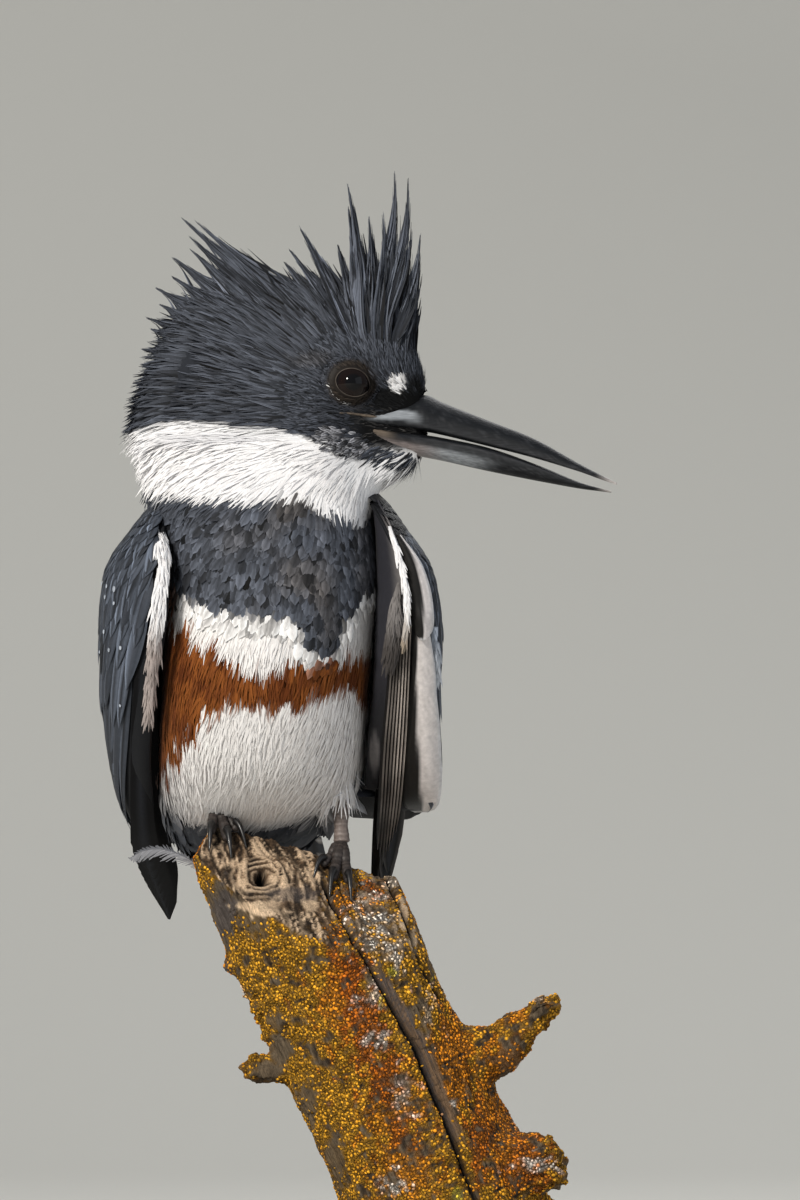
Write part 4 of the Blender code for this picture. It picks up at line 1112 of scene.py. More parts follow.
def lids(name, centre, side):
    """A ring of bare skin that narrows the ball to its opening."""
    turn = np.arange(LID_STEPS) / LID_STEPS * 2 * math.pi
    points = np.stack([on_lid(centre, side, turn, share, over) for share, over, _ in LID_RINGS])[None]
    uneven = 0.8 + 0.35 * np.sin(turn * 2 + 2.6) + 0.2 * np.sin(turn * 9)
    pale = np.array([p for _, _, p in LID_RINGS])[None, :, None] * np.clip(uneven, 0, 1)
    colours = dye(0.6 * np.array(EYE_BROWN), LID_PALE, pale)
    return settle(sheet_mesh(name, points, colours, lid_material, wrap=True), "eye")


def eye_fringe(name, centre, side, seed):
    """Tiny brown feathers on the lids, with a broken line of white ones under the eye."""
    rng = np.random.default_rng(seed)
    turn, share = rng.uniform(-math.pi, math.pi, FRINGE_COUNT), rng.uniform(0.3, 1.5, FRINGE_COUNT)
    roots = on_lid(centre, side, turn, share, 0.22 - 0.5 * share ** 2)
    out = unit(unit(roots - centre) + 0.5 * eye_axes(side)[0])
    way = lie(roots, out)
    length, width = rng.uniform(1.0, 2.0, FRINGE_COUNT) * MM, np.full(FRINGE_COUNT, FRINGE_WIDTH * MM)
    points = tufts(roots, out, way, length, width, "lance", 4, 0.30, 0.12, sink_in=0.05 * MM)
    base = dye(1.5 * np.array(EYE_BROWN), SLATE, 0.9 * ramp(share, 0.7, 1.3))
    flecked = (turn > -2.85) & (turn < -1.2) & (np.abs(share - 0.72) < 0.11)
    base = dye(base, WHITE, 0.8 * (flecked & (rng.random(FRINGE_COUNT) < 0.5)))
    colours = tuft_colours(points, base, rng, variety=0.35, root=0.6)
    spots = bake_spots(rng.uniform(0.05, 0.95, (FRINGE_COUNT, 2)), 4)
    return settle(sheet_mesh(name, points, colours, plume_material, bake_uv=spots), "plumage")


eye_material = tint_material("wet_eye", 0.035, mottling=0.05, specular=0.2)
lid_material = tint_material("eyelid", 0.6, 0.5, (2200, 2200, 2200), specular=0.25)
for name, centre, side, seed in (("eye_right", eye_right, -1, 81), ("eye_left", eye_left, 1, 82)):
    centre = np.array(centre) + EYE_SHIFT
    eyeball(name + "_ball", centre, side, name)
    lids(name + "_lids", centre, side)
    eye_fringe("coat_" + name, centre, side, seed)

# %% [markdown]
# ## The bill
# Two halves of a dagger, a little open. Each is a loft with a pointed arch for its keel and a nearly flat
# biting side. The horn is black and worn grey along its length, pale at the base.

# %% Lofts of the bill
# distance ahead, upper edge, lower edge and half width, in the head's millimetres
BILL_UPPER = (
    (1.5, 270.9, 269.7, 12.6), (8, 272.0, 268.1, 10.4), (14, 273.2, 266.9, 8.6), (19, 274.6, 266.2, 7.3),
    (24, 275.6, 265.6, 6.4), (29, 273.4, 264.6, 5.6), (41, 268.7, 261.7, 4.3), (53.5, 263.8, 258.5, 3.1),
    (65.5, 257.2, 254.9, 1.8), (72, 253.8, 252.6, 1.0), (76.3, 251.7, 251.2, 0.35),
)
BILL_LOWER = (
    (6, 268.2, 265.8, 10.6), (12.5, 266.7, 261.4, 8.6), (20.5, 265.3, 259.3, 6.7), (29, 263.9, 257.6, 5.3),
    (41, 261.3, 254.9, 4.1), (53.5, 257.0, 252.4, 2.9), (65.5, 252.1, 250.2, 1.7), (71.5, 250.3, 249.4, 0.9),
    (74.8, 249.4, 249.0, 0.35),
)
BILL_RINGS, BILL_SIDES = 110, 48
HORN = (0.009, 0.010, 0.012)
HORN_WORN = (0.036, 0.037, 0.041)
HORN_TIP = (0.48, 0.44, 0.42)
BILL_BLUE = (0.28, 0.30, 0.325)
BILL_PINK = (0.40, 0.34, 0.33)
BILL_PALE = (0.38, 0.405, 0.435)
GAPE_TAN = (0.16, 0.125, 0.095)


def bill_points(rows, keel_up):
    """Rings of one half of the bill. keel_up is 1 where the keel is on top, -1 where it is below."""
    dense = smooth_rows(rows, BILL_RINGS)
    x, top, bottom, half = (dense[:, k][:, None] for k in range(4))
    angle = (np.arange(BILL_SIDES) / BILL_SIDES * 2 * math.pi)[None]
    keel = np.sin(angle)                           # 1 at the keel, -1 in the middle of the biting side
    reach = np.where(keel > 0, np.abs(keel) ** 0.8, -0.35 * np.abs(keel) ** 0.5)
    share = (reach + 0.35) / 1.35
    z = bottom + (top - bottom) * (share if keel_up > 0 else 1 - share)
    slim = 1 - 0.35 * np.maximum(0, keel) ** 2
    points = np.stack(np.broadcast_arrays(x, keel_up * np.cos(angle) * half * slim, z), axis=-1)
    return points, np.broadcast_to(keel, z.shape)


def bill_colour(points, keel, keel_up):
    x, z = points[..., 0], points[..., 2]
    streaks = grain(points * (0.12, 1.6, 1.6), 1.0) * 0.5 + grain(points * (0.05, 3.0, 3.0), 1.0, 5.0) * 0.5
    colour = dye(HORN, HORN_WORN, ramp(streaks, 0.0, 0.5) * 0.8)
    if keel_up > 0:
        middle = 270.2 - 0.055 * (x - 16) ** 2 * (x > 16) * 0.35
        away = np.abs(z - middle) + 0.25 * grain(points, 1.5)
        colour = dye(colour, BILL_BLUE, (1 - ramp(away, 0.9, 1.75)) * band(x, 10.5, 22.5, 2.2))
        colour = dye(colour, GAPE_TAN, 0.8 * (1 - ramp(np.abs(z - 270.3), 0.3, 0.8)) * (1 - ramp(x, 7, 12)))
    else:
        low = ramp(keel, 0.05, 0.45) * (1 - ramp(keel, 0.93, 1.0) * 0.4)
        pink = low * (1 - ramp(x + 4 * grain(points, 6.0), 33, 47))
        pale = dye(BILL_PINK, BILL_PALE, ramp(x + 2 * streaks, 20, 32))
        colour = dye(colour, pale, 0.95 * pink * (0.75 + 0.5 * streaks))
        colour = dye(colour, GAPE_TAN, 0.9 * (1 - ramp(x, 12, 18)) * band(keel, -0.5, 0.15, 0.2))
    colour = dye(colour, HORN_TIP, ramp(x, 70, 76) * 0.9)
    edge = np.exp(-((keel + 0.12) / 0.16) ** 2) * band(x, 22, 70, 6)
    return dye(colour, HORN_WORN, 0.6 * edge)


def bill_half(name, rows, keel_up):
    local, keel = bill_points(rows, keel_up)
    colours = bill_colour(local, keel, keel_up)
    made = sheet_mesh(name + "_horn", head_place(local)[None], colours[None], horn_material, wrap=True)
    close_ends(made)
    return settle(made, "bill", name)


horn_material = tint_material("horn", 0.46, 0.5, (260, 2600, 2600), mottling=0.3, coat=0.02, specular=0.22)
bill_half("bill_upper", BILL_UPPER, 1)
bill_half("bill_lower", BILL_LOWER, -1)

# %% [markdown]
# The corner of the mouth is a fleshy tan rim under the eye: a thin tube laid on the skin, whose path is
# found by rays from the side.

# %% Corner of the mouth
GAPE_LINE = ((1.5, 270.7), (5.0, 270.5), (8.5, 270.0), (12.0, 269.5))
GAPE_STEPS = 24


def tube_rings(path, radii, sides, scutes=0.0, depth=0.0, flat=1.0):
    """Rings of a round limb along path (k, 3), with scutes rings of horn on it."""
    path, radii = np.asarray(path, float), np.asarray(radii, float)
    along = unit(np.gradient(path, axis=0))
    right = unit(np.cross(along, np.broadcast_to((0.0, -0.35, 1.0), along.shape)))
    over = np.cross(right, along)
    turn = np.arange(sides) / sides * 2 * math.pi
    t = np.linspace(0, 1, len(path))
    saw = ((t * scutes) % 1.0) if scutes else 0 * t
    ring = radii[:, None] * (1 + depth * (saw[:, None] - 0.5) * (0.45 + 0.55 * np.sin(turn)[None]))
    around = right[:, None] * np.cos(turn)[None, :, None]
    around = around + over[:, None] * (flat * np.sin(turn))[None, :, None]
    return path[:, None] + around * ring[..., None], saw


def rounded(radii, share=0.10):
    """Radii that close softly at both ends."""
    t = np.linspace(0, 1, len(radii))
    close = np.sqrt(np.clip(1 - (1 - np.clip(np.minimum(t, 1 - t) / share, 0, 1)) ** 2, 0.02, 1))
    return np.asarray(radii) * close


def stack_tubes(name, tubes, colours, finish):
    """Several closed tubes in one mesh, given as lists of rings and of their colours."""
    points = np.stack(tubes) * MM
    made = sheet_mesh(name, points, np.stack(colours), finish, wrap=True)
    close_ends(made)
    return made


def on_skin(tree, x, z, side):
    """The place of the skin at x and z of the head's frame, seen from that side, in metres."""
    start = head_place((x, side * 60.0, z))
    across = head_place((x, 0.0, z)) - start
    return np.array(tree.ray_cast(Vector(start), Vector(across))[0])


def gape(name, side):
    dense = smooth_rows(GAPE_LINE, GAPE_STEPS)
    tree = search_tree([skin.data])
    path = np.stack([on_skin(tree, x, z, side) for x, z in dense]) / MM
    path[:, 1] += side * 0.15
    radii = rounded(np.linspace(0.18, 0.45, GAPE_STEPS), 0.3)
    rings, _ = tube_rings(path, radii, 10)
    tint = np.array(GAPE_TAN) * (0.65 + 0.6 * grain(rings, 1.1))[..., None]
    settle(stack_tubes(name, [rings], [tint], lid_material), "bill")


gape("mouth_corner_right", -1)
gape("mouth_corner_left", 1)

# %% [markdown]
# ## The folded wings
# A folded wing is a curved shield of overlapping feathers. The shield is described by a few level slices,
# each a soft arc from the front edge over the widest place to the rear edge. A feather is then a strip
# drawn on that surface, lifted a little at its tip so that it lies over the next.

# %% The shield of each wing
# height, then out from the midline and y of the front edge, of the widest place and of the rear edge
WING_RIGHT = (
    (246, 28.0, -11, 31.0, 2, 19, 22), (238, 27.8, -21, 37.4, 2, 16, 28), (228, 25.5, -24, 44.2, 3, 12, 34),
    (212, 26.6, -23, 46.4, 8, 9, 41), (194, 30.2, -16, 46.2, 14, 7, 48), (176, 33.0, -2, 44.4, 23, 7, 56),
    (163, 33.7, 13, 42.8, 35, 10, 63), (154, 33.3, 27, 40.8, 48, 16, 68),
)
WING_LEFT = (
    (248, 27.5, -8, 28.8, 3, 19, 22), (239, 33.4, -16, 34.6, 2, 16, 28), (228, 37.2, -18, 41.4, 0, 12, 34),
    (212, 37.2, -16, 44.2, 2, 9, 41), (194, 35.2, -8, 43.5, 7, 7, 48), (176, 32.7, 4, 44.0, 14, 7, 56),
    (165, 31.2, 15, 42.5, 24, 10, 63), (161, 32.0, 22, 38.5, 36, 16, 66),
)
DENSE = 120
VANE_ACROSS = np.array([-1.0, -0.55, -0.06, 0.06, 0.55, 1.0])
VANE_ROOF = 0.10                      # height of the shaft's ridge, as a share of the width
SHAFT_SHARE = 0.8                     # how dark the shaft is


def read_rows(dense, share):
    """The columns of dense rows, read at places from 0 at the first row to 1 at the last."""
    return (np.interp(share * (DENSE - 1), np.arange(DENSE), column) for column in dense.T)


class Shield:
    """A folded wing's outside: down runs 0 to 1 from shoulder to end, and across from front to rear."""

    def __init__(self, rows, side):
        self.rows = smooth_rows(rows, DENSE)
        self.side = side

    def place(self, down, across):
        held = np.clip(down, 0, 1)
        over = (down - held) * (DENSE - 1)
        first, last = self.rows[1] - self.rows[0], self.rows[-1] - self.rows[-2]
        z, fo, fy, wo, wy, ro, ry = (
            value + over * np.where(over > 0, last[k], first[k])
            for k, value in enumerate(read_rows(self.rows, held)))
        bend_out, bend_y = 2 * wo - (fo + ro) / 2, 2 * wy - (fy + ry) / 2
        a, b, c = (1 - across) ** 2, 2 * across * (1 - across), across ** 2
        out, back = a * fo + b * bend_out + c * ro, a * fy + b * bend_y + c * ry
        return body_place(np.stack([self.side * out, back, z], axis=-1))

    def frame(self, down, across):
        """Place, steps along down and across, and the outward direction."""
        small = 1e-3
        at = self.place(down, across)
        d_down = (self.place(down + small, across) - self.place(down - small, across)) / (2 * small)
        d_across = (self.place(down, across + small) - self.place(down, across - small)) / (2 * small)
        out = unit(np.cross(d_down, d_across)) * self.side
        return at, d_down, d_across, out

    def drape(self, down, across, length, width, skew, lift, rows, gather):
        """Strips on the shield, one for each feather; lift is the height at root and tip, in metres."""
        t = np.linspace(0, 1, rows)[None]
        _, d_down, d_across, _ = self.frame(down, across)
        step_down = (length / np.linalg.norm(d_down, axis=-1))[:, None]
        way_down = down[:, None] + t * step_down
        centre = across[:, None] + t * skew[:, None] + gather * t ** 2 * (0.55 - across[:, None])
        half = (width[:, None] / 2) * outline("scale", t)
        wide = half / np.linalg.norm(d_across, axis=-1)[:, None]
        grid_across = centre[:, :, None] + wide[:, :, None] * VANE_ACROSS
        grid_down = np.broadcast_to(way_down[:, :, None], grid_across.shape)
        at, _, _, out = self.frame(grid_down, grid_across)
        ridge = (1 - np.abs(VANE_ACROSS)) * half[..., None] * 2 * VANE_ROOF
        return at + out * ((lift[0] + (lift[1] - lift[0]) * t)[..., None] + ridge)[..., None]


def vane_map(n, rows, columns=VANE_ACROSS):
    across = np.broadcast_to(columns[None, None], (n, rows, len(columns)))
    along = np.broadcast_to(np.linspace(0, 1, rows)[None, :, None], across.shape)
    return np.stack([across, along], axis=-1)


def cell_map(n, rows, columns=VANE_ACROSS):
    """A baking map where each feather has a cell of its own in a square grid."""
    side = math.ceil(math.sqrt(n))
    index = np.arange(n)
    across = (columns[None, None] * 0.42 + 0.5 + (index % side)[:, None, None]) / side
    along = (np.linspace(0.06, 0.94, rows)[None, :, None] + (index // side)[:, None, None]) / side
    across, along = np.broadcast_arrays(across, along)
    return np.stack([across, along], axis=-1)


def vane_colours(n, rows, base, rng, variety=0.1, root=0.3, edge=BLACK, edge_share=0.0,
                 tip=BLACK, tip_share=0.0, tip_from=0.86):
    """Colour of flight feathers and coverts: dark shaft, edge and tip colours, and painted shade darkening
    the root.
    """
    across, along = np.abs(VANE_ACROSS)[None, None], np.linspace(0, 1, rows)[None, :, None]
    luck = 1 + variety * rng.standard_normal(n)[:, None, None, None]
    colour = np.broadcast_to(np.reshape(base, (-1, 1, 1, 3)), (n, rows, len(VANE_ACROSS), 3)) * luck
    colour = dye(colour, SLATE_DARK, SHAFT_SHARE * (across < 0.1))
    colour = dye(colour, edge, edge_share * (across > 0.9))
    colour = dye(colour, tip, tip_share * ramp(along, tip_from, tip_from + 0.08))
    # root darkens each feather towards its root: painted shade
    return colour * (1 - root * (1 - ramp(along, 0, 0.35)))[..., None]


def settle_vanes(name, points, colours, *nodes, finish=vane_material, columns=VANE_ACROSS):
    """Makes and hangs a piece of flight feathers, which carry a cell each for baking and their own map."""
    n, rows = points.shape[:2]
    made = sheet_mesh(name, points, colours, finish, vane_map(n, rows, columns), cell_map(n, rows, columns))
    return settle(made, "wing_feather", *nodes)


# %% [markdown]
# ### Tracts of the wing
# Each tract is a grid of staggered rows. The long feathers lie lowest, and every tract above overlaps the
# one below. White dots on some covert tips and narrow black shafts belong to the species' pattern.

# %% Coverts and secondaries
ROOT_JITTER = 0.25                    # how far a root strays, in steps of its grid
right_shield, left_shield = Shield(WING_RIGHT, -1), Shield(WING_LEFT, 1)


def staggered(down, across, row_step, col_step, rng):
    """Grid of roots on a shield between two limits each way, every other row shifted by half a step."""
    spots = []
    count_down = max(1, round((down[1] - down[0]) / row_step) + 1)
    for i in range(count_down):
        row = down[0] + i * row_step
        shift = 0.5 * col_step * (i % 2)
        for x in np.arange(across[0] + shift, across[1] + 1e-6, col_step):
            spots.append((row, x))
    spots = np.array(spots)
    return (spots + ROOT_JITTER * np.array([row_step, col_step]) * rng.uniform(-0.5, 0.5, spots.shape)).T


# name, down limits, across limits, step down, step across, length, width, lift at root and tip (mm), dots
TRACTS = (
    ("secondaries", (0.34, 0.52), (0.12, 0.97), 0.09, 0.048, 58, 5.6, (-0.9, 0.1), 0.0),
    ("greater", (0.33, 0.45), (0.10, 1.0), 0.12, 0.052, 22, 5.4, (-0.4, 0.6), 0.4),
    ("median", (0.20, 0.36), (0.08, 1.0), 0.050, 0.050, 13.0, 4.4, (-0.1, 0.85), 0.22),
    ("lesser", (-0.03, 0.235), (0.05, 1.0), 0.030, 0.042, 8.0, 3.2, (-0.2, 1.1), 0.0),
)
# the wing's slate: bluer than the body's, and lighter as painted light on the wing
WING_SLATE_LIT = (0.125, 0.147, 0.192)
WEB_SHADES = np.array([0.35, 0.6, 0.9, 1.0, 1.25, 1.5])      # dark inner web and pale outer web, and painted shade between the feathers
DOT_WHITE = (0.42, 0.46, 0.53)
DOT_LENGTH, DOT_WIDTH = 1.5, 1.2
DOTS_BEHIND = {"right": -100, "left": 20}     # the broad undersides cover the front of the left wing
WING_NODES = {"lesser": "coverts", "secondaries": "secondaries"}
# height, and how far out from the middle the webs turn black, in millimetres: black inner webs and painted
# shade on the wing's inner side
INNER_BLACK_AND_SHADE = {"right": ((154, 56.2), (180, 55.7), (226, 49.7), (232, 40.0)),
              "left": ((150, 23.0), (215, 22.5), (236, 18.0))}
DARK_DEPTH = ((150, 44), (178, 16), (214, -4))      # and how far back that goes, as height and y


def web_colours(label, side, points, rng):
    """Slate webs, each a little different, that turn black on the wing's inner side, partly as black inner
    webs and partly as painted shade.
    """
    n, rows = points.shape[:2]
    base = dye(WING_SLATE_LIT, SLATE_DARK, 0.4 * rng.random(n))
    webs = WEB_SHADES * (1 + 0.4 * rng.standard_normal((n, 1, len(WEB_SHADES)))).clip(0.3, 1.7)
    colours = vane_colours(n, rows, base, rng, variety=0.16, root=0.45) * webs[..., None]
    x, y, z = np.moveaxis(points / MM, -1, 0)
    inner = 1 - ramp(side * x - curve_through(z, INNER_BLACK_AND_SHADE[label]), -0.5, 0.5)
    return dye(colours, BLACK, 0.93 * (inner * (1 - ramp(y - curve_through(z, DARK_DEPTH), 0, 8))))


def wing_dots(label, tips, side, seed):
    """White drops on the ends of some coverts, from the last rows of their points."""
    rng = np.random.default_rng(seed + 5)
    middle = tips[:, :, 2:4].mean(axis=2)
    way = unit(middle[:, 2] - middle[:, 0])
    out = unit(np.cross(way, tips[:, 1, 4] - tips[:, 1, 1])) * side
    n = len(tips)
    roots = middle[:, 1] + out * 0.35 * MM + unit(np.cross(way, out)) * rng.normal(0, 0.5 * MM, (n, 1))
    size = rng.uniform(0.6, 1.2, n) * MM
    points = tufts(roots, out, way, DOT_LENGTH * size, DOT_WIDTH * size, "scale", 5, 0.05, 0.05, sink_in=0.0)
    colours = tuft_colours(points, np.broadcast_to(DOT_WHITE, (n, 3)), rng, root=0.1)
    made = sheet_mesh(f"wing_{label}_dots", points, colours, silk_material, bake_uv=cell_map(n, 5, ACROSS))
    settle(made, "wing_feather")


def wing_tracts(label, shield, seed):
    dots = []
    for name, down, across, row_step, col_step, length, width, lift, dotted in TRACTS:
        rng = np.random.default_rng(seed)
        a, b = staggered(down, across, row_step, col_step, rng)
        n = len(a)
        long, wide = length * MM * rng.uniform(0.85, 1.12, n), width * MM * rng.uniform(0.85, 1.15, n)
        rows, gather = (12, 0.5) if length > 30 else (8, 0.05)
        points = shield.drape(a, b, long, wide, rng.normal(0, 0.014, n), np.array(lift) * MM, rows, gather)
        nodes = [f"wing_{label}_{WING_NODES[name]}"] if name in WING_NODES else []
        colours = web_colours(label, shield.side, points, rng)
        settle_vanes(f"wing_{label}_{name}_feathers", points, colours, *nodes)
        dots.append(points[rng.random(n) < dotted][:, -4:])
    dots = np.concatenate(dots)
    wing_dots(label, dots[dots[:, 0, 2, 1] > DOTS_BEHIND[label] * MM], shield.side, seed)


wing_tracts("right", right_shield, 31)
wing_tracts("left", left_shield, 41)


# %% The closed lining under the feathers
PAD_TOP, PAD_LOW, PAD_SWELL = 1.1, 1.4, 2.2       # depths of its two sides under the shield, and its middle
PAD_MESH = (34, 18)


def wing_lining(label, shield):
    """A thin closed pad under the feathers, so that no light comes through the wing, nearly black as painted
    shade between them.
    """
    downs, acrosses = np.linspace(0.0, 1.0, PAD_MESH[0]), np.linspace(0.015, 0.985, PAD_MESH[1])
    grid_down, grid_across = np.meshgrid(downs, acrosses, indexing="ij")
    at, _, _, out = shield.frame(grid_down, grid_across)
    edge = np.sin(np.pi * np.clip(grid_across, 0.04, 0.96)) ** 0.5
    edge = edge * np.sin(np.pi * np.clip(grid_down, 0.03, 0.93)) ** 0.4
    outer = at - out * (PAD_TOP * MM)
    inner = at - out * ((PAD_LOW + PAD_SWELL * edge[..., None]) * MM)
    ring = np.concatenate([outer, inner[:, ::-1]], axis=1)[None]
    # nearly black: painted shade where the pad shows between the feathers
    colours = np.broadcast_to(np.array(SLATE_DARK) * 0.4, ring.shape)
    made = sheet_mesh(f"wing_{label}_lining", ring, colours, plume_material, wrap=True)
    close_ends(made)
    settle(made, "wing_feather")


wing_lining("right", right_shield)
wing_lining("left", left_shield)

# %% [markdown]
# ### The stacked primaries
# Under the secondaries the hand's long feathers lie stacked on edge, each a little shorter than the last.
# They make the wing's pointed end, nearly black with a thin pale edge.

# %% Primaries
# height, out from the midline, y, half thickness of the stack and half its depth
HAND_RIGHT = (
    (214, 31.5, -17, 1.8, 5.0), (196, 33.6, -10, 2.2, 7.5), (178, 35.3, 4, 2.5, 9.5),
    (160, 36.4, 22, 3.4, 10.0), (148, 36.6, 42, 5.2, 8.5), (140, 37.2, 56, 4.6, 7.0),
    (131, 36.6, 72, 2.6, 2.0),
)
HAND_LEFT = (
    (214, 36.2, -14, 1.8, 5.0), (196, 35.2, -6, 2.6, 7.5), (178, 32.7, 6, 3.2, 9.5),
    (165, 30.6, 18, 3.4, 10.0), (146, 26.7, 45, 2.6, 9.0), (136, 24.6, 60, 2.0, 6.5),
    (131, 23.4, 72, 0.7, 2.0),
)
PRIMARIES, PRIMARY_ROWS = 9, 26
PRIMARY_BLACK, PRIMARY_EDGE = (0.006, 0.006, 0.007), (0.16, 0.15, 0.145)


def primaries(label, rows, side, seed, facing, girth, edge_share):
    """Feathers that turn to the viewer as facing says; girth is their half width against the stack's."""
    rng = np.random.default_rng(seed)
    dense = smooth_rows(rows, DENSE)
    t = np.linspace(0, 1, PRIMARY_ROWS)
    paths, sides, halves = [], [], []
    for i in range(PRIMARIES):
        layer = i / (PRIMARIES - 1)                      # 0 is the innermost and longest
        start, end = 0.02 + 0.12 * (1 - layer), 1.0 - 0.32 * layer ** 1.2
        z, out, y, thin, deep = read_rows(dense, start + (end - start) * t)
        away = out + thin * (2 * layer - 1) * mix(0.9, 0.25, facing)
        paths.append(body_place(np.stack([side * away, y + deep * (0.25 - 0.5 * layer), z], axis=-1)))
        sides.append(np.broadcast_to((side * (facing + 0.2 * layer), 1 - facing, 0.2), (PRIMARY_ROWS, 3)))
        halves.append(mix(deep, thin, facing) * girth * MM * np.clip((1 - t) * 9, 0.06, 1) ** 0.6)
    paths = np.stack(paths)
    sides = square_to(np.stack(sides), unit(np.gradient(paths, axis=1)))
    points = blades(paths, sides, np.stack(halves), VANE_ACROSS, 0.06)
    colours = vane_colours(PRIMARIES, PRIMARY_ROWS, PRIMARY_BLACK, rng, root=0.0,
                           edge=PRIMARY_EDGE, edge_share=edge_share)
    settle_vanes(f"wing_{label}_primary_feathers", points, colours, f"wing_{label}_primaries",
                 finish=hand_material)


primaries("right", HAND_RIGHT, -1, 51, 0.85, 0.78, 0.0)
primaries("left", HAND_LEFT, 1, 52, 0.35, 0.52, 0.4)

# %% [markdown]
# ### White edge of the right wing
# Where the right wing lies against the breast, its front edge is lined with soft white down that turns
# pinkish grey lower on. The same kind of line, thinner, edges the underside of the left wing.

# %% Down along the wings' front edges
WARM_GREY, TAWNY = (0.42, 0.36, 0.34), (0.30, 0.24, 0.18)
MOTTLED_PALE, MOTTLED_DARK = (0.20, 0.185, 0.18), (0.055, 0.048, 0.045)
DOWN_WIDTH = 0.85
# x and z of the middle of the line, its depth y, and its half width, all in millimetres
EDGE_RIGHT = (
    (-49.2, 240.0, -12, 0.9), (-48.2, 235.5, -19, 1.7), (-47.9, 229.0, -24, 1.5), (-48.9, 220.0, -26.5, 1.9),
    (-49.8, 212.5, -26, 1.7), (-50.5, 204.5, -22, 1.5), (-51.4, 196.6, -17.5, 1.3), (-51.9, 189.3, -13, 0.7),
)
EDGE_LEFT = (
    (13.4, 240.0, -20.5, 0.3), (15.4, 234.0, -22.5, 0.7), (17.2, 227.0, -24, 0.6), (18.2, 220.5, -24, 0.5),
    (18.2, 214.0, -23.5, 0.4), (17.6, 208.0, -22, 0.2),
)
EDGE_MOTTLED = (
    (16.2, 224.5, -22.5, 0.3), (15.4, 219.0, -22, 1.4), (15.2, 214.5, -22, 2.2), (14.8, 210.0, -21.5, 2.3),
    (13.8, 203.0, -20, 1.6),
)


def edge_down(name, rows, count, length, top, low, blend_z, seed):
    """Short tufts of down that hang along a line, in colour top and, under blend_z, in colour low."""
    rng = np.random.default_rng(seed)
    line = smooth_rows(rows, DENSE)
    t = np.sort(rng.random(count))
    x, z, y, half = read_rows(line, t)
    dx, dz, dy, _ = read_rows(np.gradient(line, axis=0), t)
    shift = rng.uniform(-1, 1, count)
    bulge = 0.9 * shift ** 2 + rng.uniform(-0.3, 0.3, count)
    roots = np.stack([x + shift * half, y + bulge, z], axis=-1) * MM
    way = unit(unit(np.stack([dx, dy, dz], axis=-1)) + rng.normal(0, 0.10, (count, 3)))
    out = unit(np.stack([0.55 * shift + 0.15, np.full(count, -1.0), np.zeros(count)], axis=-1))
    out = square_to(out, way)
    long = length * MM * rng.uniform(0.7, 1.2, count)
    points = tufts(roots, out, way, long, np.full(count, DOWN_WIDTH * MM), "hair", 5, 0.10, 0.10)
    base = dye(low, top, ramp(roots[:, 2] / MM - 0.5 * length, blend_z - 6, blend_z + 6))
    colours = tuft_colours(points, base, rng, root=0.15, variety=0.08)
    spots = bake_spots(rng.uniform(0.05, 0.95, (count, 2)), 5)
    return settle(sheet_mesh(name, points, colours, silk_material, bake_uv=spots), "wing_feather")


edge_down("wing_right_edge_down", EDGE_RIGHT, 520, 6.0, WHITE, WARM_GREY, 211, 61)
edge_down("wing_left_edge_down", EDGE_LEFT, 240, 4.2, WHITE, TAWNY, 213, 62)
edge_down("wing_left_mottled_down", EDGE_MOTTLED, 300, 4.2, MOTTLED_PALE, MOTTLED_DARK, 211, 63)

# %% [markdown]
# ### The underside of the left wing
# The left wing hangs a little open, so the viewer sees the undersides of its feathers: a smooth lining next
# to the body, painted grey as shade with painted light towards its edge, then broad feathers whose inner half
# is painted in shadow and whose outer half is pale. Between them the folded hand shows as thin strips, dark
# and pale by turns. The broad ones are hung like a sheet: a ray from the front finds the depth of what they
# lie on.

# %% Broad vanes that face the viewer
UNDER_SHADOW = (0.012, 0.011, 0.010)
UNDER_PALE = (0.74, 0.69, 0.675)
UNDER_FRINGE = (0.80, 0.79, 0.80)
UNDER_ACROSS = np.linspace(0, 1, 11)
UNDER_STEPS = 40
UNDER_GAP = 1.7                       # how far they lie in front of the feathers behind them
UNDER_FALL_BACK = 1.2                 # past the wing's outline they turn back this much for each step out
UNDER_THICKNESS = 0.2
LINING_SHADE, LINING_LIT = (0.034, 0.034, 0.042), (0.22, 0.205, 0.20)
# name, rows of z, left x and right x in millimetres, and where the shaft lies at the root and at the end
UNDER_VANES = (
    ("far", ((217, 20.8, 23.4), (208.6, 20.0, 24.9), (201.3, 19.3, 26.0), (194, 18.4, 26.4),
             (186.7, 17.6, 27.2), (179.4, 17.1, 27.6), (172, 16.9, 27.9), (165.2, 17.0, 27.4),
             (162.6, 18.2, 26.2), (161.4, 20.4, 24.2)),
     (0.14, 0.58)),
    ("near", ((237.5, 15.6, 16.6), (230.6, 16.9, 21.8), (223.3, 17.6, 24.6), (216, 18.7, 25.6),
              (211.6, 20.0, 25.3), (208.8, 22.0, 23.2)), (0.72, 0.48)),
)
# the lining, painted grey as shade: z, left x, right x, left y and right y
UNDER_LINING = (
    (247, 8.5, 10.4, -7, -13), (238, 9.6, 14.7, -9, -20), (231, 9.8, 16.9, -10, -22.5),
    (222, 9.8, 18.3, -10, -22.5), (214, 9.6, 17.8, -9, -21), (203, 9.2, 16.4, -7, -17),
    (192, 8.6, 14.4, -4, -11), (180, 7.4, 12.6, 2, -1), (168, 7.0, 11.2, 10, 9),
)


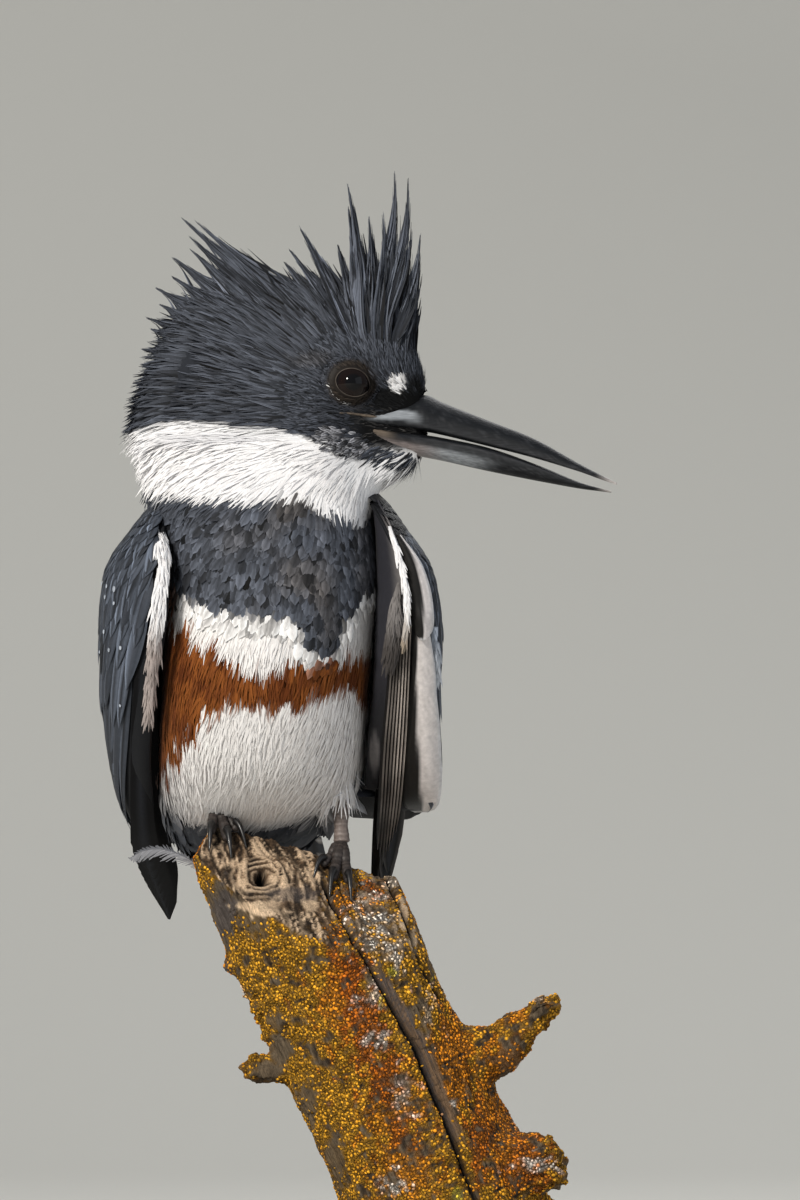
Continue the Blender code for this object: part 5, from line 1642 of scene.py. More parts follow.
def front_depth(tree, x, z):
    """Depth in millimetres of what stands at each x and z, smoothed, and carried on past its outline."""
    y = np.full(x.shape, np.nan)
    for row in range(x.shape[0]):
        for column in range(x.shape[1]):
            start = Vector((x[row, column] * MM, -0.1, z[row, column] * MM))
            hit = tree.ray_cast(start, Vector((0, 1, 0)))[0]
            if hit is not None:
                y[row, column] = hit.y / MM
        known = np.flatnonzero(~np.isnan(y[row]))
        last = known[-1]
        y[row] = np.interp(x[row], x[row, known], y[row, known])
        y[row] += np.maximum(0, x[row] - x[row, last]) * UNDER_FALL_BACK
    for _ in range(6):
        y[1:-1] = (y[:-2] + 2 * y[1:-1] + y[2:]) / 4
        y[:, 1:-1] = (y[:, :-2] + 2 * y[:, 1:-1] + y[:, 2:]) / 4
    return y


def hung_sheet(name, x, y, z, colour):
    """A thin solid sheet from grids of its places in millimetres."""
    points = np.stack(np.broadcast_arrays(x, y, z), axis=-1)[None] * MM
    down, share = np.meshgrid(*(np.linspace(0, 1, count) for count in x.shape), indexing="ij")
    own = np.stack([share * 2 - 1, down], -1)[None]
    spots = np.stack([0.05 + 0.9 * share, 0.05 + 0.9 * down], -1)[None]
    made = sheet_mesh(name, points, colour[None], vane_material, own, spots)
    solid = made.modifiers.new("thickness", "SOLIDIFY")
    solid.thickness, solid.offset = UNDER_THICKNESS * MM, 1.0
    return settle(made, "wing_feather")


def under_vane(name, rows, shaft):
    """One feather seen from below, painted in shadow before its shaft and pale after it."""
    line = smooth_rows(rows, UNDER_STEPS)
    z, x0, x1 = (line[:, k][:, None] for k in range(3))
    share, down = UNDER_ACROSS[None], np.linspace(0, 1, UNDER_STEPS)[:, None]
    x = x0 + (x1 - x0) * share
    z = z + 0 * x
    y = front_depth(search_tree([piece.data for piece in left_front]), x, z) - UNDER_GAP
    lies_at = mix(shaft[0], shaft[1], down)
    pale = ramp(share - lies_at, -0.02, 0.06)
    fringe = np.maximum(ramp(share, 0.86, 0.97), ramp(down, 0.93, 0.99))
    streaks, specks = grain(np.stack([x, y, z * 0.12], -1), 0.7), grain(np.stack([x, y, z], -1), 0.5)
    speckle = 1 + 0.22 * streaks + 0.12 * specks
    # painted shadow before the shaft, the pale underside after it
    colour = dye(dye(UNDER_SHADOW, UNDER_PALE, pale), UNDER_FRINGE, 0.75 * fringe)
    colour = dye(colour * speckle[..., None], BLACK, 0.75 * np.exp(-((share - lies_at) / 0.03) ** 2))
    left_front.append(hung_sheet(f"wing_left_{name}_under_vane", x, y, z, colour))


def under_lining():
    """The smooth underside next to the body, painted grey as shade, with painted light towards the white
    edge.
    """
    line = smooth_rows(UNDER_LINING, UNDER_STEPS)
    z, x0, x1, y0, y1 = (line[:, k][:, None] for k in range(5))
    share = UNDER_ACROSS[None]
    x = x0 + (x1 - x0) * share
    z = z + 0 * x
    lit = ramp(share, 0.45, 0.95) * band(z, 219, 242, 4)
    # a pale oval of white feathers that lie in painted shade
    oval = 1 - ramp(np.hypot((x - 9.4) / 1.6, (z - 178) / 6.0), 0.7, 1.1)
    colour = dye(LINING_SHADE, LINING_LIT, np.maximum(lit, 0.55 * oval))
    # painted black shadow low down, outside the oval
    colour = dye(colour, BLACK, 0.8 * (1 - ramp(z, 186, 206)) * (1 - oval))
    return hung_sheet("wing_left_under_lining", x, y0 + (y1 - y0) * share ** 0.8, z, colour)


left_front = [piece for piece in scene.objects
              if piece.name.startswith("wing_left_") and piece.name.endswith(("feathers", "lining"))]
for name, rows, shaft in UNDER_VANES:
    under_vane(name, rows, shaft)
under_lining()

# %% The hand's feathers on edge, and the small coverts at the rim
HAND_STRIPS, STRIP_ROWS = 7, 24
STRIP_ACROSS = np.array([-1.0, 0.15, 0.3, 1.0])
# z, x of the first strip, width of the stack and y in front of it
HAND_STACK = (
    (214, 14.2, 5.2, -21.5), (195, 12.8, 5.8, -14.5), (180, 11.4, 6.4, -4.5), (165, 10.6, 6.0, 8.0),
    (155, 10.0, 5.4, 21.0), (146, 9.8, 4.6, 35.0),
)
STRIP_DARK, STRIP_PALE = (0.006, 0.005, 0.005), (0.50, 0.44, 0.40)


def hand_strips(seed):
    """Thin strips side by side. Each is dark with one pale rim, and ends at its own height."""
    rng = np.random.default_rng(seed)
    dense = smooth_rows(HAND_STACK, DENSE)
    t = np.linspace(0, 1, STRIP_ROWS)[:, None]
    points, colours = [], []
    for i in range(HAND_STRIPS):
        place = (i + 0.5) / HAND_STRIPS
        ends = (0.02 * rng.random(), 1 - 0.05 * abs(i - 2) - 0.03 * rng.random())
        z, x, wide, y = (value[:, None] for value in read_rows(dense, np.linspace(*ends, STRIP_ROWS)))
        half = wide / HAND_STRIPS * 0.72 * np.clip((1 - t) * 6, 0.1, 1) ** 0.7
        across = x + wide * place + half * STRIP_ACROSS
        depth = y + 1.6 * place ** 2 - 0.4 * STRIP_ACROSS
        points.append(np.stack(np.broadcast_arrays(across, depth, z), axis=-1) * MM)
        rim = (STRIP_ACROSS > 0.2) * (0.2 + 0.8 * rng.random()) * (0.7 + 1.1 * grain(points[-1], 9 * MM))
        colours.append(dye(STRIP_DARK, STRIP_PALE, np.clip(rim, 0, 1)))
    return settle_vanes("wing_left_hand_strips", np.stack(points), np.stack(colours), columns=STRIP_ACROSS)


hand_strips(64)

RIM_COVERTS = np.array(((25.6, 212.5), (26.0, 207.5), (26.3, 202.5), (26.5, 197.5)))     # x and z
RIM_BLUE, RIM_PALE = (0.30, 0.34, 0.41), (0.50, 0.53, 0.58)
rim_tree = search_tree([piece.data for piece in left_front])
rim_depth = front_depth(rim_tree, RIM_COVERTS[:, :1], RIM_COVERTS[:, 1:])
rim_rows = [(x, z, y - 1.6, 1.1) for (x, z), y in zip(RIM_COVERTS, rim_depth[:, 0])]
edge_down("wing_left_rim_coverts", rim_rows, 70, 3.6, RIM_BLUE, RIM_PALE, 205, 65)

# %% [markdown]
# ## The tail
# Twelve slate feathers in a shallow fan, each with a dark shaft and narrow white bars. The middle pair lies
# on top, and the others are stepped in height so that none cuts another.

# %% Tail feathers
TAIL_ROOT = (0, 46, 155)              # in the body's frame
TAIL_LENGTH = 88.0
TAIL_PITCH = math.radians(38)
TAIL_HALF = (8.5, 13.0)               # half width of the whole tail at its root and end
TAIL_PAIRS = 6
TAIL_ROWS = 44
TAIL_BAR_STEP = 7.4                   # from one white bar to the next
TAIL_TIP = (0.55, 0.55, 0.57)


def tail_feather(rank, t, rng):
    """Places of one feather's sheet, and a wave along it that makes the bars."""
    along = np.array([0, math.cos(TAIL_PITCH), -math.sin(TAIL_PITCH)])
    up = np.array([0, math.sin(TAIL_PITCH), math.cos(TAIL_PITCH)])
    side = 1 if rank % 2 else -1
    pair = rank // 2                         # 0 is the middle pair
    spread = side * (pair + 0.35) / (TAIL_PAIRS - 0.2)
    reach = TAIL_LENGTH - 9.0 * spread ** 2 - 0.6 * rng.random()
    middle = spread * (TAIL_HALF[0] + (TAIL_HALF[1] - TAIL_HALF[0]) * t) * 0.86
    lift = 1.9 * (1 - spread ** 2) - 0.32 * pair + 0.12 * side + 0.5
    half = (2.6 + 2.4 * t) * np.clip((1 - t) * 16, 0.1, 1) ** 0.5
    across = VANE_ACROSS[None] * half[:, None]
    crown = (1 - np.abs(VANE_ACROSS))[None] * 0.35
    centre = np.array(TAIL_ROOT) + along * (t * reach)[:, None]
    body = centre[:, None] + np.stack([middle[:, None] + across, 0 * across, 0 * across], axis=-1)
    bars = np.sin(t * reach / TAIL_BAR_STEP * 2 * math.pi + rng.normal(0, 0.25))
    return body_place(body + up * (lift + crown)[..., None]), bars


def tail_feathers(seed):
    rng = np.random.default_rng(seed)
    t = np.linspace(0, 1, TAIL_ROWS)
    points, bars = zip(*(tail_feather(rank, t, rng) for rank in range(2 * TAIL_PAIRS)))
    points, bars = np.stack(points), np.stack(bars)
    n = len(points)
    colours = vane_colours(n, TAIL_ROWS, SLATE, rng, variety=0.08, root=0.2,
                           tip=TAIL_TIP, tip_share=0.6, tip_from=0.95)
    white = ramp(bars, 0.86, 0.97)[:, :, None] * ((np.abs(VANE_ACROSS) > 0.3) & (np.abs(VANE_ACROSS) < 1.1))
    colours = dye(colours, WHITE, 0.75 * white * (np.arange(n) > 1)[:, None, None])
    return settle_vanes("tail_feathers", points, colours, "tail")


tail_feathers(71)

# %% [markdown]
# ## Legs, toes and claws
# A kingfisher's legs are short and its feet small: three toes in front and one behind, ringed with horny
# scutes. Each toe is a tube whose radius swells and drops at every scute, and the claws are thin curved
# cones of black horn. All of them follow the slope of the broken wood.

# %% Tubes with scutes
RIDGE_POINT = (-13.6, 7.0, 152.7)     # the broken top is a ridge through this point
RIDGE_FALL = -0.30
FRONT_RISE = 0.74
BACK_FALL = -0.95
FEET = {
    "right": {"foot": (-34.0, 11.0), "ankle": (-33.5, 12.0, 166), "thigh": (-33.0, 14.0, 176), "turn": 10},
    "left": {"foot": (0.5, 8.0), "ankle": (0.0, 9.0, 163), "thigh": (-2.5, 9.0, 176), "turn": -6},
}
# name, degrees from straight ahead, length and slimness
TOES = (("inner", -30, 9.0, 0.85), ("middle", -6, 12.0, 1.0), ("outer", 16, 11.0, 0.95),
        ("hind", 176, 5.0, 0.9))
TOE_RADIUS = 1.55
TARSUS_RADIUS = 2.1
TOE_BLACK = (0.030, 0.024, 0.022)
TOE_PALE = (0.115, 0.092, 0.082)
TARSUS_GREY, TARSUS_PALE = (0.150, 0.118, 0.105), (0.30, 0.25, 0.23)
CLAW_BLACK = (0.012, 0.011, 0.011)
STEEP = math.hypot(1, max(FRONT_RISE, -BACK_FALL))      # a height over the slope is this much more upright


def break_height(x, y):
    """Height of the branch's broken top, in millimetres."""
    slope = np.where(np.asarray(y) < RIDGE_POINT[1], FRONT_RISE, BACK_FALL)
    return RIDGE_POINT[2] + RIDGE_FALL * (x - RIDGE_POINT[0]) + slope * (y - RIDGE_POINT[1])


def skin_tint(rings, saw, base, pale):
    """Horn-brown scutes with paler, worn rims."""
    wear = 0.35 + 0.4 * grain(rings, 1.6)
    return dye(base, pale, np.clip(ramp(saw, 0.55, 1.0)[:, None] * wear + 0.15 * wear, 0, 1))


# %% Feet
LIMB_ROWS, LIMB_SIDES = 40, 16
CLAW_ROWS, CLAW_SIDES = 18, 12
CLAW_LENGTH = 5.6
SHIN_RADII = (2.35, 1.85, 2.3, 2.9)
foot_material = tint_material("scaly_skin", 0.5, 0.5, (1500, 1500, 1500), mottling=0.2, specular=0.4)
claw_material = tint_material("claw_horn", 0.36, 0.1, (900, 900, 900), mottling=0.15, coat=0.1)


def toe_path(foot, heading, length, radius):
    """From the sole, over two knuckles, down to the wood."""
    share = np.linspace(0, 1.04, LIMB_ROWS)
    x = foot[0] + math.sin(heading) * length * share
    y = foot[1] - math.cos(heading) * length * share
    knuckle = 1.6 * (1 - ramp(share, 0.0, 0.9)) + 0.55 * np.exp(-((share - 0.36) / 0.13) ** 2)
    knuckle = knuckle + 0.35 * np.exp(-((share - 0.72) / 0.10) ** 2)
    swell = 1.04 - 0.22 * share + 0.10 * np.exp(-((share - 0.38) / 0.1) ** 2)
    swell = swell + 0.08 * np.exp(-((share - 0.74) / 0.1) ** 2)
    z = break_height(x, y) + (radius * 0.95 + 0.3 + knuckle) * STEEP
    return np.stack([x, y, z], axis=-1), radius * swell


def claw_path(foot, heading, length, radius):
    """A hooked cone that leaves the toe's end and comes down to the wood."""
    share = np.linspace(0, 1, CLAW_ROWS)
    ahead = length * 0.93 + CLAW_LENGTH * (share - 0.12 * share ** 3)
    x, y = foot[0] + math.sin(heading) * ahead, foot[1] - math.cos(heading) * ahead
    arch = 1.5 * np.sin(np.pi * np.clip(share + 0.12, 0, 1)) * (1 - 0.3 * share)
    z = break_height(x, y) + ((radius * 1.1 + 0.5) * (1 - share) + arch + 0.25) * STEEP
    return np.stack([x, y, z], axis=-1), (radius * 0.72) * (1 - share) ** 0.8 + 0.08


def shin_rings(foot, leg):
    """The short leg, from the sole over the ankle to the thigh in the belly's down."""
    sole = (*foot, break_height(*foot) + (TARSUS_RADIUS + 2.0) * 1.35)
    halfway = tuple((a + b) / 2 for a, b in zip(sole, leg["ankle"]))
    path = smooth_rows([sole, halfway, leg["ankle"], leg["thigh"]], LIMB_ROWS)
    radii = np.interp(np.linspace(0, 3, LIMB_ROWS), range(4), SHIN_RADII)
    return tube_rings(path, rounded(radii, 0.06), LIMB_SIDES, scutes=11, depth=0.12)


for label, leg in FEET.items():
    side, foot = 1 if label == "left" else -1, leg["foot"]
    rings, saw = shin_rings(foot, leg)
    tubes, tints = [rings], [skin_tint(rings, saw, TARSUS_GREY, TARSUS_PALE)]
    for toe, turn, length, slim in TOES:
        heading = math.radians(leg["turn"] + side * turn)
        path, radii = toe_path(foot, heading, length, TOE_RADIUS * slim)
        rings, saw = tube_rings(path, rounded(radii), LIMB_SIDES, scutes=length * 0.95, depth=0.16, flat=0.92)
        tubes.append(rings)
        tints.append(skin_tint(rings, saw, TOE_BLACK, TOE_PALE))
        hook, _ = tube_rings(*claw_path(foot, heading, length, TOE_RADIUS * slim), CLAW_SIDES, flat=1.15)
        horn = np.broadcast_to(CLAW_BLACK, hook.shape)
        claw = f"claw_{label}_{toe}"
        settle(stack_tubes(claw + "_horn", [hook], [horn], claw_material), "claw", claw)
    settle(stack_tubes(f"leg_{label}_skin", tubes, tints, foot_material), "leg_skin", f"leg_{label}")

# %% [markdown]
# ## The branch
# The bird grips the broken end of a dead branch: weathered wood on top, bark below, and on the bark a crust
# of lichen. The solid is remeshed finely, then every point is moved along its normal: broad lumps, bark
# furrows, splinters on the break, two long cracks, a knot with a hole. The same distances and masks also
# decide the colours, so form and colour agree.

# %% Remesh the branch
BARK_VOXEL = 0.62 * MM
BARK_SMOOTHING = 30
BRANCH_FOOT = np.array([31.3, 5.0, 49.0])
BRANCH_HEAD = np.array([-18.6, 1.0, 161.0])
BRANCH_ALONG = unit(BRANCH_HEAD - BRANCH_FOOT)
BRANCH_SIDE = unit(np.cross([0.0, 1.0, 0.0], BRANCH_ALONG))
BRANCH_FRONT = np.cross(BRANCH_SIDE, BRANCH_ALONG)

perch = melted(("perch",), "perch_bark", 0.0, BARK_VOXEL, BARK_SMOOTHING)
perch_at, perch_out = vertex_array(perch.data), vertex_array(perch.data, "normal")
bark = perch_at / MM
print("branch:", len(bark), "points")

# %% Marks on the branch
# lines as seen from the front, x and z in millimetres
CRACK = ((-6.5, 144), (-4.2, 140.9), (1.5, 131.5), (6.0, 124.1), (11.9, 113.9), (17.5, 104.5),
         (21.4, 97.8), (26.5, 85.3), (30.8, 73.6), (36, 59.7), (41, 46))
SHORT_CRACK = ((12.6, 145), (14.1, 140.9), (18.5, 131.3), (22.1, 121.1), (28.7, 109.5))
KNOT = (-21.3, 144.2)
KNOT_RADIUS = 3.4
SMALL_KNOT = (-14.8, 103.2)
BUD = (-29.0, 3.0, 120.2)


def branch_frame(points):
    """Places along the branch's own axis, its side and its front."""
    away = points - BRANCH_FOOT
    return np.stack([away @ BRANCH_SIDE, away @ BRANCH_FRONT, away @ BRANCH_ALONG], axis=-1)


def beside(points, line):
    """Signed distance in x and z from a polyline: positive to its right, and the share of the way down it."""
    best, side, at = np.full(len(points), 1e9), np.zeros(len(points)), np.zeros(len(points))
    spot = points[:, [0, 2]]
    for i, (a, b) in enumerate(zip(line, line[1:])):
        a, b = np.array(a), np.array(b)
        step = b - a
        t = np.clip(((spot - a) @ step) / (step @ step), 0, 1)
        away = spot - (a + t[:, None] * step)
        distance = np.linalg.norm(away, axis=1)
        closer = distance < best
        best = np.where(closer, distance, best)
        side = np.where(closer, np.sign(away[:, 0] * -step[1] + away[:, 1] * step[0]), side)
        at = np.where(closer, (i + t) / (len(line) - 1), at)
    return best * side, at


def blots(points, patches, wobble=0.35):
    """Soft ragged patches on the front: each is x, z, width, height and weight."""
    out = np.zeros(len(points))
    ragged = 1 + wobble * grain(points, 3.0) + 0.5 * wobble * grain(points, 1.1)
    for x, z, wide, tall, weight in patches:
        away = np.hypot((points[:, 0] - x) / wide, (points[:, 2] - z) / tall) * ragged
        out = np.maximum(out, weight * (1 - ramp(away, 0.65, 1.1)))
    return out


fibre = branch_frame(bark)
seen = ramp(-perch_out[:, 1], -0.1, 0.35)                       # 1 on the side towards the viewer
under_break = break_height(bark[:, 0], bark[:, 1]) - bark[:, 2]
broken = 1 - ramp(under_break + 1.0 * grain(bark, 4.0), 1.2, 3.4)
broken = broken * ramp(perch_out @ unit(np.array([0.3, -0.2, 1.0])), 0.1, 0.45)
sawn = 1 - ramp(bark[:, 2], 49.4, 50.4)
crack_side, crack_along = beside(bark, CRACK)
short_side, short_along = beside(bark, SHORT_CRACK)
knot_away = np.hypot((bark[:, 0] - KNOT[0]) / 1.35, (bark[:, 2] - KNOT[1]) / 0.85)
small_away = np.hypot(bark[:, 0] - SMALL_KNOT[0], bark[:, 2] - SMALL_KNOT[1])
print("broken share", round(float(broken.mean()), 2), "sawn share", round(float(sawn.mean()), 2))

# %% Relief of the branch
BARK_STRETCH = np.array([1.0, 1.0, 0.16])       # furrows are this much longer than wide
CROSS_STRETCH = np.array([0.16, 0.16, 1.0])     # and short cracks run across them


def ridged(points, size, shift=0.0):
    """Noise folded at zero, which leaves thin valleys: 0 in a valley, 1 on a crest."""
    return np.abs(grain(points, size, shift)) * 2


furrow = ridged(fibre * BARK_STRETCH, 1.5) * 0.5 + ridged(fibre * BARK_STRETCH, 0.75, 4.0) * 0.5
cross = ridged(fibre * CROSS_STRETCH, 1.5, 9.0) + 0.6 * ramp(grain(bark, 6.0, 2.0), -0.3, 0.3)
# the wood's fibres run along the branch and part round the knot, as a stream does round a stone
from_knot = np.array([KNOT[0], 0.0, KNOT[1]]) - BRANCH_FOOT
knot_side, knot_up = fibre[:, 0] - from_knot @ BRANCH_SIDE, fibre[:, 2] - from_knot @ BRANCH_ALONG
parting = KNOT_RADIUS ** 2 / np.maximum(knot_side ** 2 + (0.7 * knot_up) ** 2, KNOT_RADIUS ** 2)
stream = np.stack([fibre[:, 0] - knot_side * parting * seen, fibre[:, 1] * 0.10, fibre[:, 2] * 0.06], axis=-1)
splinter = 0.6 * grain(stream, 0.9) + 0.6 * grain(stream, 0.38, 3.0)
shards = ridged(stream, 2.4, 6.0)
rings = np.sin(knot_away * 4.3 + 2.6 * grain(bark, 3.0))
granules = grain(bark, 0.95) * 0.6 + grain(bark, 0.55, 3.0) * 0.4
on_wood = np.clip(broken + sawn, 0, 1)
crack_shape = np.exp(-(crack_side / (0.55 + 0.35 * ramp(crack_along, 0.25, 0.7))) ** 2) * seen
crack_shape = crack_shape * ramp(crack_along, 0.02, 0.12)
short_shape = np.exp(-(short_side / 0.5) ** 2) * seen * band(short_along, 0.02, 0.97, 0.03)
bare_strip = band(crack_side, 0.4, 3.0 + 0.8 * grain(bark, 5.0), 0.35) * seen
bare_strip = bare_strip * band(crack_along, 0.35, 0.80, 0.04)
hole = (1 - ramp(np.hypot(bark[:, 0] - KNOT[0], (bark[:, 2] - KNOT[1]) * 0.72), 1.0, 1.75)) * seen
knot_swell = np.exp(-((knot_away - 4.0) / 2.4) ** 2) * seen * broken
small_knot = (np.exp(-((small_away - 1.9) / 0.7) ** 2) - 1.4 * np.exp(-(small_away / 0.9) ** 2)) * seen
bud = np.exp(-(np.linalg.norm(bark - np.array(BUD), axis=1) / 2.2) ** 2)

relief = 1.0 * grain(bark, 15.0) + 0.45 * grain(bark, 6.5, 1.0)
relief += (1 - on_wood) * (0.5 * furrow - 0.45 - 0.45 * (1 - ramp(cross, 0.0, 0.22)) + 0.28 * granules)
relief += broken * (0.7 * splinter + 0.9 * shards - 0.4 + 0.2 * knot_swell * rings + 0.9 * knot_swell)
stub_end = np.maximum(ramp(bark[:, 0], 48, 57), ramp(-bark[:, 0], 17, 22) * (bark[:, 2] < 112))
relief += stub_end * (2.2 * grain(bark, 3.4, 4.0) + 1.0 * grain(bark, 1.5, 5.0))
relief += sawn * 0.12 * rings
relief -= 2.1 * crack_shape + 1.7 * short_shape + 5.0 * hole + 0.45 * bare_strip * (1 - crack_shape)
relief += 0.55 * small_knot + 2.6 * bud + 0.25 * bare_strip * splinter
moved = perch_at + perch_out * (relief * MM)[:, None]
curl = ramp(bark[:, 0], 44, 60) * (bark[:, 2] > 88)            # the upper stub curls up towards its end
moved[:, 2] += (4.5 * curl ** 2 - 3.0 * np.sin(math.pi * curl) * ramp(perch_out[:, 2], 0, 0.6)) * MM
move_vertices(perch.data, moved)
perch.data.shade_smooth()
bark = moved / MM
print("relief from", round(relief.min(), 1), "to", round(relief.max(), 1), "mm")

# %% [markdown]
# ### Colours of wood, bark and lichen
# The break is bleached brown and grey. On the bark each lichen has its own ground: orange over most of it,
# rusty red down the middle, ochre to the left, grey white near the top of the cracks. Two colours are
# stored, that of the branch itself and that of the grains of lichen that will sit on it.

# %% Paint the branch
WOOD_PALE = (0.70, 0.51, 0.34)
WOOD_BROWN = (0.17, 0.105, 0.060)
WOOD_GREY = np.array((0.085, 0.072, 0.068))
WOOD_DARK = (0.020, 0.014, 0.010)
WOOD_BRIGHT = (0.80, 0.60, 0.40)
BARK_GREY = (0.150, 0.112, 0.072)
BARK_DARK = (0.035, 0.024, 0.016)
LICHEN_ORANGE = (0.56, 0.20, 0.012)
LICHEN_RED = (0.40, 0.10, 0.008)
LICHEN_OCHRE = (0.56, 0.28, 0.020)
LICHEN_YELLOW = (0.58, 0.46, 0.045)
LICHEN_WHITE = (0.80, 0.74, 0.66)
HOLE_SHADOW = (0.004, 0.003, 0.003)
# patches on the front: x, z, width, height, weight
RED_PATCHES = ((3, 118, 4, 10, 1), (7, 104, 5.5, 13, 1), (12, 90, 5, 9, 0.9), (-2, 128, 3.5, 6, 0.7),
               (9, 141, 3.5, 3, 1), (17, 75, 4, 6, 0.8), (52, 66, 8, 8, 0.7), (38, 72, 4, 8, 0.8))
ORANGE_PATCHES = ((46, 80, 12, 26, 1), (30, 92, 7, 18, 1), (42, 108, 10, 6, 0.6), (6, 138, 8, 5, 1),
                  (14, 84, 9, 14, 0.8), (1, 113, 7, 15, 0.9), (18, 66, 9, 12, 0.8))
WHITE_PATCHES = ((10, 131, 5.5, 7, 1), (13.5, 143.5, 3.4, 2.8, 1), (6, 136, 3, 4, 0.8), (15, 122, 3, 6, 0.8),
                 (10, 101, 2.6, 3, 0.8), (30, 82, 2.2, 2, 1), (15, 61, 3.6, 3, 1), (55, 66, 7, 2, 0.9),
                 (9, 114, 2.4, 5, 0.6), (17, 86, 3, 5, 0.6), (24, 108, 2, 6, 0.5))
YELLOW_PATCHES = ((14, 119, 1.5, 1.5, 1), (27, 119, 2, 2, 1), (32, 58, 2, 2, 1), (13, 112, 1.4, 1.8, 0.8))
BARE_PATCHES = ((-16, 97, 4, 5, 1), (-20, 91, 5, 4, 1), (-9, 80, 3, 10, 0.9), (-2, 66, 4, 9, 0.9),
                (-33, 135, 6, 9, 1), (-24, 133, 6, 5, 0.9), (-17, 105, 3.5, 3, 0.8), (46, 94, 4, 4, 0.6))
GREY_PATCHES = ((-31, 134, 4, 8, 1), (-13, 139.5, 9, 2.2, 0.8))
PALE_PATCHES = ((-21, 136, 6.5, 2.4, 1), (-8, 136.5, 2.2, 1.4, 0.9), (17.5, 134, 1.3, 5.5, 1),
                (20, 127, 1.2, 4, 0.8))
ROUGH = 0.9                            # how ragged the patches' rims are

behind = 1 - seen                      # there the patches are plain noise

ragged_red = blots(bark, RED_PATCHES, ROUGH) * seen + behind * ramp(grain(bark, 13.0, 7.0), 0.15, 0.5)
ragged_orange = blots(bark, ORANGE_PATCHES, ROUGH) * seen + behind * ramp(grain(bark, 11.0, 8.0), -0.2, 0.2)
ragged_white = blots(bark, WHITE_PATCHES, ROUGH) * seen + behind * ramp(grain(bark, 9.0, 6.0), 0.35, 0.55)
bare = np.maximum(blots(bark, BARE_PATCHES, 0.6) * seen, behind * ramp(grain(bark, 14.0, 5.0), 0.1, 0.35))
bare = np.maximum(bare, bare_strip)
pale = blots(bark, PALE_PATCHES, 0.6) * seen * (1 - 0.3 * broken)

tone = ramp(furrow, 0.1, 0.9)
bark_tint = dye(dye(BARK_DARK, BARK_GREY, tone), BARK_GREY, 0.6 * bare)
lichen_tint = dye(LICHEN_OCHRE, LICHEN_ORANGE, ragged_orange)
lichen_tint = dye(lichen_tint, LICHEN_RED, 0.9 * ragged_red)
lichen_tint = dye(lichen_tint, LICHEN_WHITE, ragged_white * ramp(grain(bark, 1.8, 2.0), -0.35, 0.1))
lichen_tint = dye(lichen_tint, LICHEN_YELLOW, blots(bark, YELLOW_PATCHES, 0.8) * seen)
lichen_tint = lichen_tint * (1 + 0.5 * grain(bark, 2.6, 13.0))[:, None]
# lichen has taken the right half of the break
overgrown = 0.9 * ramp(bark[:, 0] + 3 * grain(bark, 4.0), -6, 1)
crust = (1 - on_wood * (1 - overgrown)) * ramp(cross, 0.10, 0.24)
for gap in (bare, pale, crack_shape, short_shape, hole, bud):
    crust = crust * (1 - gap)
crust = crust * ramp(grain(bark, 4.0, 11.0) + 0.5 * grain(bark, 1.6, 12.0), -0.6, -0.1)
branch_tint = dye(bark_tint, lichen_tint * 0.62, 0.8 * crust)
streaks = ramp(splinter, -0.3, 0.25)
bleached = ramp(splinter + 0.7 * grain(bark, 6.0, 3.0), 0.0, 0.35)
wood = dye(dye(WOOD_DARK, WOOD_BROWN, streaks), WOOD_PALE, bleached)
wood = dye(wood, WOOD_DARK, 0.8 * (1 - ramp(shards, 0.0, 0.28)))
wood = dye(wood, WOOD_PALE, np.clip(0.8 * knot_swell * ramp(rings, -0.2, 0.7), 0, 1))
wood = dye(wood, LICHEN_OCHRE, 0.5 * ramp(grain(bark, 2.2, 14.0), 0.25, 0.5) * ramp(bark[:, 0], -12, 8))
branch_tint = dye(branch_tint, wood, on_wood * (1 - 0.7 * overgrown))
weathered = WOOD_GREY * (0.7 + 0.5 * streaks[:, None])
branch_tint = dye(branch_tint, weathered, 0.85 * blots(bark, GREY_PATCHES, 0.6) * seen)
branch_tint = dye(branch_tint, dye(WOOD_GREY, WOOD_BROWN, streaks), bare_strip)
branch_tint = dye(branch_tint, dye(WOOD_PALE, WOOD_BRIGHT, streaks), pale)
# painted shade: the bark's cross cracks are darkened
branch_tint = dye(branch_tint, BARK_DARK, 0.85 * (1 - ramp(cross, 0.04, 0.20)) * (1 - on_wood) * (1 - pale))
# painted shadow: the cracks and the knot's hole are painted black
deep = np.clip(1.15 * crack_shape + 1.15 * short_shape + 3.0 * hole, 0, 1)
branch_tint = dye(branch_tint, HOLE_SHADOW, deep)
branch_tint = dye(branch_tint, WOOD_GREY, bud)
paint(perch.data, branch_tint)
perch.data.attributes.new("Crust", "FLOAT", "POINT")
paint(perch.data, lichen_tint, "Lichen")


def set_crust(values):
    """Writes how crusted each point of the branch is, for the shader and for the grains."""
    perch.data.attributes["Crust"].data.foreach_set("value", values.astype(np.float32))


set_crust(crust)
print("crusted share", round(float(crust.mean()), 2))

# %% [markdown]
# The shader adds what is too small for the mesh: finer grains, as Voronoi cells with dark gaps and a shade
# of their own, only where the Crust attribute says so, and fibres along the branch everywhere.

# %% Material of the branch
GRAIN_SCALE = 1050.0                  # cells per metre
BRANCH_TILT = math.atan2(BRANCH_ALONG[0], BRANCH_ALONG[2])


